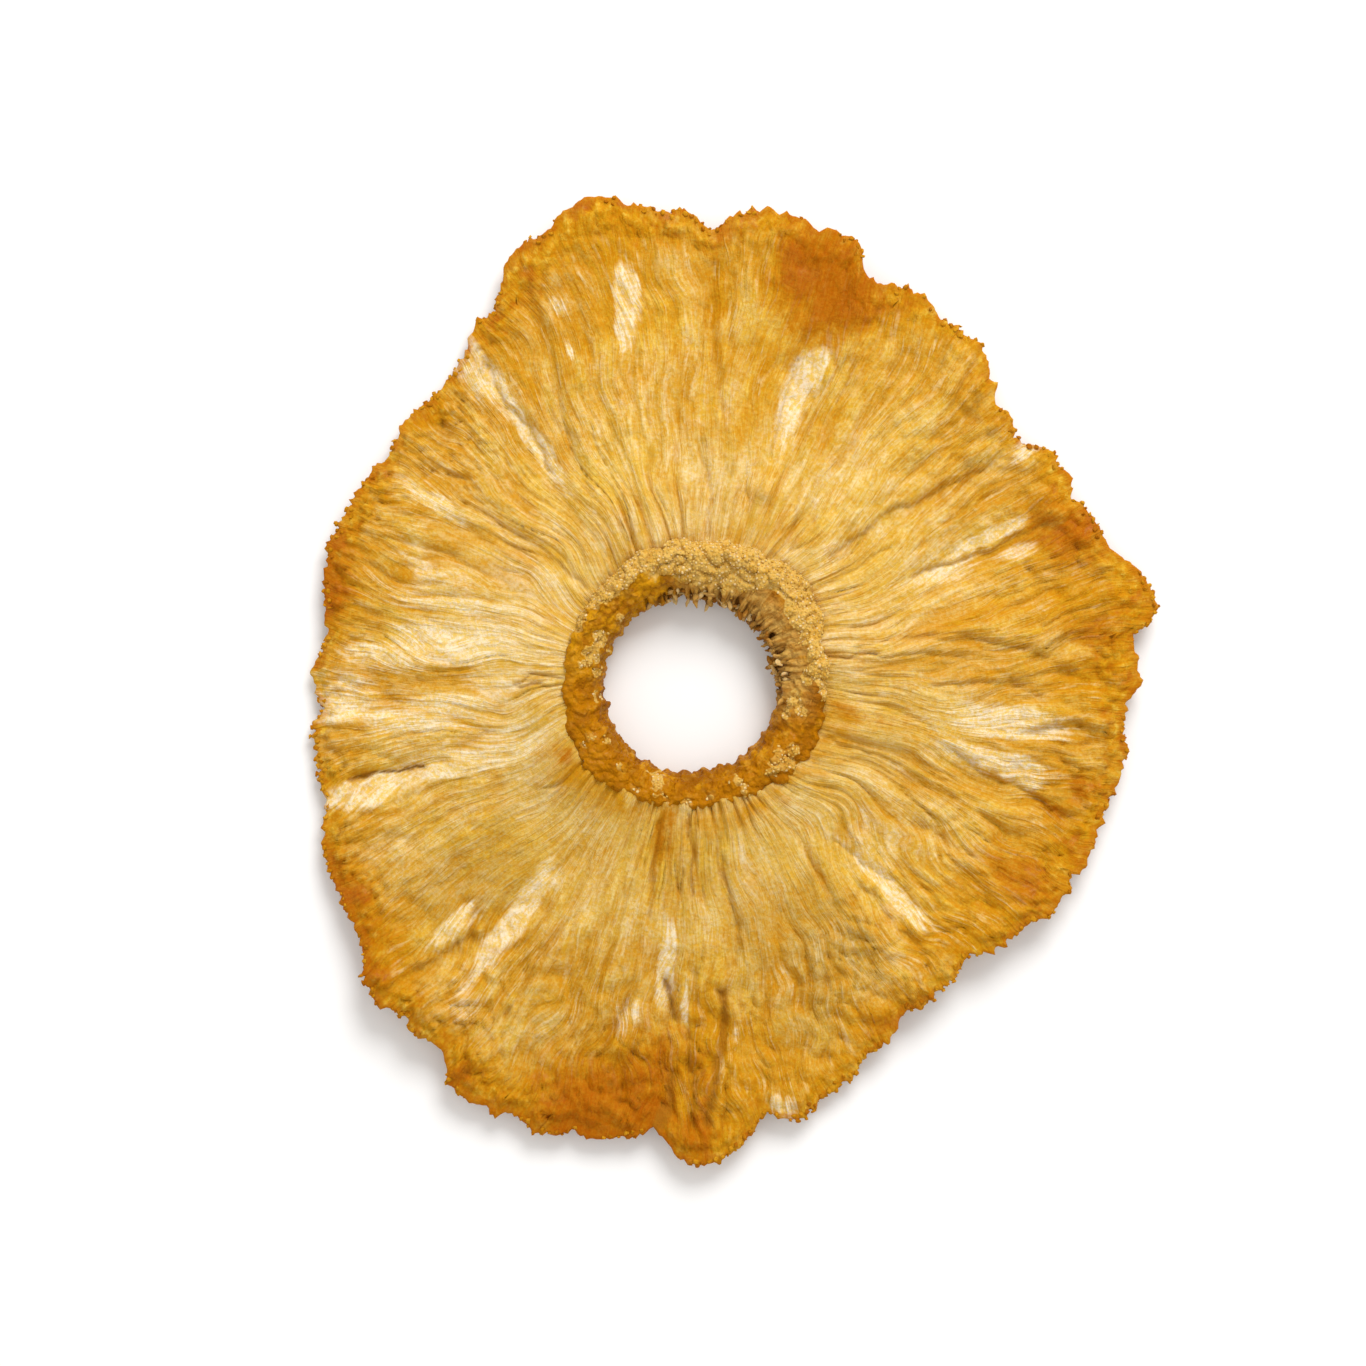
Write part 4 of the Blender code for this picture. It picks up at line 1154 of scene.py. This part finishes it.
class PineappleFlesh(bpy.types.PropertyGroup):
    relief: number_property("Relief", "Strength of folds and fibres", 1.0)
    rim_crumble: number_property("Rim crumble", "How far the rim's crumbs stand out", 0.60 * MM, "LENGTH")
    straw: colour_property("Straw", "Ridges of the dried flesh", (0.69, 0.495, 0.180))
    straw_shade: colour_property("Straw shade", "Between the ridges", (0.54, 0.315, 0.045))
    gold: colour_property("Gold", "Sunlit yellow flesh", (0.66, 0.400, 0.040))
    cream: colour_property("Cream", "Pith of the seed pockets", (0.74, 0.56, 0.26))
    amber: colour_property("Amber", "Where sugar has browned", (0.51, 0.225, 0.004))
    scorch: colour_property("Scorch", "Toasted patches", (0.38, 0.105, 0.002))
    ashen: colour_property("Ashen", "Dull olive folds", (0.42, 0.240, 0.040))
    rosy: colour_property("Rosy", "Mauve tinge of some ridges", (0.52, 0.28, 0.11))
    # Painted shade: the colour laid in the creases, cracks and pits and in the crevice at the collar's edge
    crease: colour_property("Crease", "Bottoms of the deep creases", (0.33, 0.125, 0.007))
    grain_dark: colour_property("Grain dark", "Tint of the finest grain's dark specks", (0.97, 0.86, 0.40))
    grain_light: colour_property("Grain light", "Tint of the finest grain's light specks", (1.05, 1.19, 1.85))


class PineappleCollar(bpy.types.PropertyGroup):
    granule: number_property("Granule", "Width of a crust granule", 0.32 * MM, "LENGTH")
    spacing: number_property("Spacing", "Distance between granules", 0.33 * MM, "LENGTH")
    tongue: number_property("Tongue", "Length of a core fibre's end", 1.3 * MM, "LENGTH")
    crust: colour_property("Crust", "Beige crust of the collar", (0.61, 0.380, 0.092))
    crust_shade: colour_property("Crust shade", "Between the granules", (0.54, 0.285, 0.035))
    glaze: colour_property("Glaze", "Sugary side of the collar", (0.40, 0.148, 0.001))
    glaze_shade: colour_property("Glaze shade", "Darker glaze", (0.27, 0.090, 0.002))
    # Painted highlight and painted light on the glaze
    lit_glaze: colour_property("Honey", "Where the glaze lets light through", (0.53, 0.245, 0.005))
    bark: colour_property("Bark", "Dry fibres at the hole's edge", (0.53, 0.305, 0.070))
    # The wall's own browner tone, laid more strongly the deeper down the hole as painted shade
    wall: colour_property("Wall", "Wall of the hole", (0.27, 0.115, 0.016))
    # Painted shade in the gaps at the hole's edge
    hollow: colour_property("Hollow", "Gaps at the hole's edge", (0.14, 0.050, 0.006))


class PineappleStage(bpy.types.PropertyGroup):
    floor: colour_property("Floor", "Plain pale floor", (0.86, 0.86, 0.86))
    key: number_property("Key light", "Power of the key light", 3.0, "POWER")
    fill: number_property("Fill", "Strength of the even light all round", 0.88)
    lens: number_property("Lens", "Focal length in mm", 100.0)


# The stage


FRAME_WIDTH = 136.6 * MM  # what the picture takes in, from edge to edge
FRAME_MIDDLE = (-1.1 * MM, -0.3 * MM)  # the picture's middle, from the middle of the hole
MEAN_HEIGHT = 2.5 * MM
SENSOR = 36.0
FLOOR_HALF = 0.6
FLOOR_DROP = 0.05 * MM
DAYLIGHT = (1.0, 0.975, 0.945, 1.0)
LAMP_SIZE = 0.34
LAMP_PLACE = (0.14, 0.42, 0.40)


def make_floor(stage):
    mesh = bpy.data.meshes.new("floor")
    sides = ((-1, -1), (1, -1), (1, 1), (-1, 1))
    mesh.from_pydata([(x * FLOOR_HALF, y * FLOOR_HALF, -FLOOR_DROP) for x, y in sides], [], [(0, 1, 2, 3)])
    floor = linked("floor", mesh)
    material = bpy.data.materials.new("floor")
    material.use_nodes = True
    net = Net(material.node_tree)
    for socket, value in {"Base Color": stage.floor, "Roughness": 0.9, "Specular IOR Level": 0.1}.items():
        net.feed(value, net.tree.nodes["Principled BSDF"].inputs[socket])
    mesh.materials.append(material)


def make_lights(stage):
    world = bpy.data.worlds.new("studio")
    bpy.context.scene.world = world
    world.use_nodes = True
    world.node_tree.nodes["Background"].inputs["Color"].default_value = DAYLIGHT
    world.node_tree.nodes["Background"].inputs["Strength"].default_value = stage.fill
    lamp = bpy.data.lights.new("key", "AREA")
    lamp.shape = "DISK"
    lamp.size = LAMP_SIZE
    lamp.energy = stage.key
    key = linked("key", lamp)
    key.location = LAMP_PLACE
    key.rotation_euler = (-key.location).to_track_quat("-Z", "Y").to_euler()


def make_camera(stage):
    camera = linked("camera", bpy.data.cameras.new("camera"))
    camera.data.sensor_width = SENSOR
    camera.data.lens = stage.lens
    distance = FRAME_WIDTH * stage.lens / SENSOR
    camera.location = (CORE[0] + FRAME_MIDDLE[0], CORE[1] + FRAME_MIDDLE[1], MEAN_HEIGHT + distance)
    bpy.context.scene.camera = camera


# Operators


FRINGE_TONES = ((0.28, 0.11, 0.012), (0.47, 0.26, 0.06), (0.66, 0.46, 0.20))
CRUMB_TONES = ((0.34, 0.11, 0.003), (0.44, 0.18, 0.004), (0.52, 0.24, 0.010))
CRUST_DARK, CRUST_LIGHT = (0.54, 0.285, 0.035), (0.70, 0.50, 0.24)
CRUMB_SIZES = {"spacing": 0.62 * MM, "size": 0.50 * MM}


class PINEAPPLE_OT_flesh_ring(bpy.types.Operator):
    """Make the flesh and the collar round its hole as fine skins over the frame's solid"""

    bl_idname = "pineapple.flesh_ring"
    bl_label = "Flesh and collar"

    def execute(self, context):
        settings = context.scene.pineapple_flesh
        form = solid_form()
        meshes = (
            (flesh_mesh(settings, form), flesh_material(settings)),
            (collar_mesh(form), collar_material(context.scene.pineapple_collar)),
        )
        for mesh, material in meshes:
            mesh.materials.append(material)
            add_piece(mesh.name, mesh)
        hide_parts(RING)
        return {"FINISHED"}


class PINEAPPLE_OT_collar_crust(bpy.types.Operator):
    """Grow the collar's beige granules"""

    bl_idname = "pineapple.collar_crust"
    bl_label = "Collar crust"

    def execute(self, context):
        collar = context.scene.pineapple_collar
        size = collar.granule
        look = {"spacing": collar.spacing, "size": size, "reach": 0.6 * size, "roughness": 0.4 * size}
        material = crumb_material("collar_crust", CRUST_DARK, collar.crust, CRUST_LIGHT, 0.45)
        grow("collar_crust", "core_collar", 5, material=material, mask="crust", droop=0.0, seed=3, **look)
        return {"FINISHED"}


class PINEAPPLE_OT_core_fringe(bpy.types.Operator):
    """Grow the ends of the core's fibres at the hole's edge"""

    bl_idname = "pineapple.core_fringe"
    bl_label = "Core fringe"

    def execute(self, context):
        look = {**CRUMB_SIZES, "reach": context.scene.pineapple_collar.tongue, "roughness": 0.45 * MM}
        material = crumb_material("core_fringe", *FRINGE_TONES, 0.45)
        grow("core_fringe", "core_collar", 8, material=material, mask="fringe", droop=-0.3, seed=4, **look)
        return {"FINISHED"}


class PINEAPPLE_OT_rim_crumbs(bpy.types.Operator):
    """Grow the crumbs along the rim"""

    bl_idname = "pineapple.rim_crumbs"
    bl_label = "Rim crumbs"

    def execute(self, context):
        look = {**CRUMB_SIZES, "reach": 0.32 * MM, "roughness": 0.50 * MM}
        material = crumb_material("rim_crumbs", *CRUMB_TONES, 0.5)
        grow("rim_crumbs", "flesh_ring", 7, material=material, mask="crumbly", droop=0.0, seed=6, **look)
        return {"FINISHED"}


class PINEAPPLE_OT_stage(bpy.types.Operator):
    """Set the floor, the lights and the camera"""

    bl_idname = "pineapple.stage"
    bl_label = "Stage"

    def execute(self, context):
        stage = context.scene.pineapple_stage
        for make in (make_floor, make_lights, make_camera):
            make(stage)
        context.scene.view_settings.view_transform = "Standard"
        context.scene.view_settings.look = "None"
        return {"FINISHED"}


class PINEAPPLE_PT_panel(bpy.types.Panel):
    """Everything that dresses the ring"""

    bl_idname = "PINEAPPLE_PT_panel"
    bl_label = "Dried pineapple"
    bl_space_type = "VIEW_3D"
    bl_region_type = "UI"
    bl_category = "Pineapple"

    def draw(self, context):
        layout = self.layout
        for operator in OPERATORS:
            layout.operator(operator.bl_idname)
        for group in SETTINGS:
            box = layout.box()
            values = getattr(context.scene, group)
            for name in values.bl_rna.properties.keys():
                if name not in ("rna_type", "name"):
                    box.prop(values, name)


OPERATORS = (
    PINEAPPLE_OT_stage,
    PINEAPPLE_OT_flesh_ring,
    PINEAPPLE_OT_collar_crust,
    PINEAPPLE_OT_core_fringe,
    PINEAPPLE_OT_rim_crumbs,
)
SETTINGS = {
    "pineapple_flesh": PineappleFlesh,
    "pineapple_collar": PineappleCollar,
    "pineapple_stage": PineappleStage,
}
CLASSES = (*SETTINGS.values(), *OPERATORS, PINEAPPLE_PT_panel)


def register():
    for item in CLASSES:
        bpy.utils.register_class(item)
    for name, group in SETTINGS.items():
        setattr(bpy.types.Scene, name, bpy.props.PointerProperty(type=group))


def unregister():
    for name in SETTINGS:
        delattr(bpy.types.Scene, name)
    for item in reversed(CLASSES):
        bpy.utils.unregister_class(item)


def main():
    register()
    bpy.ops.pineapple.stage()
    bpy.ops.pineapple.flesh_ring()
    bpy.ops.pineapple.collar_crust()
    bpy.ops.pineapple.core_fringe()
    bpy.ops.pineapple.rim_crumbs()


if __name__ == "__main__":
    main()
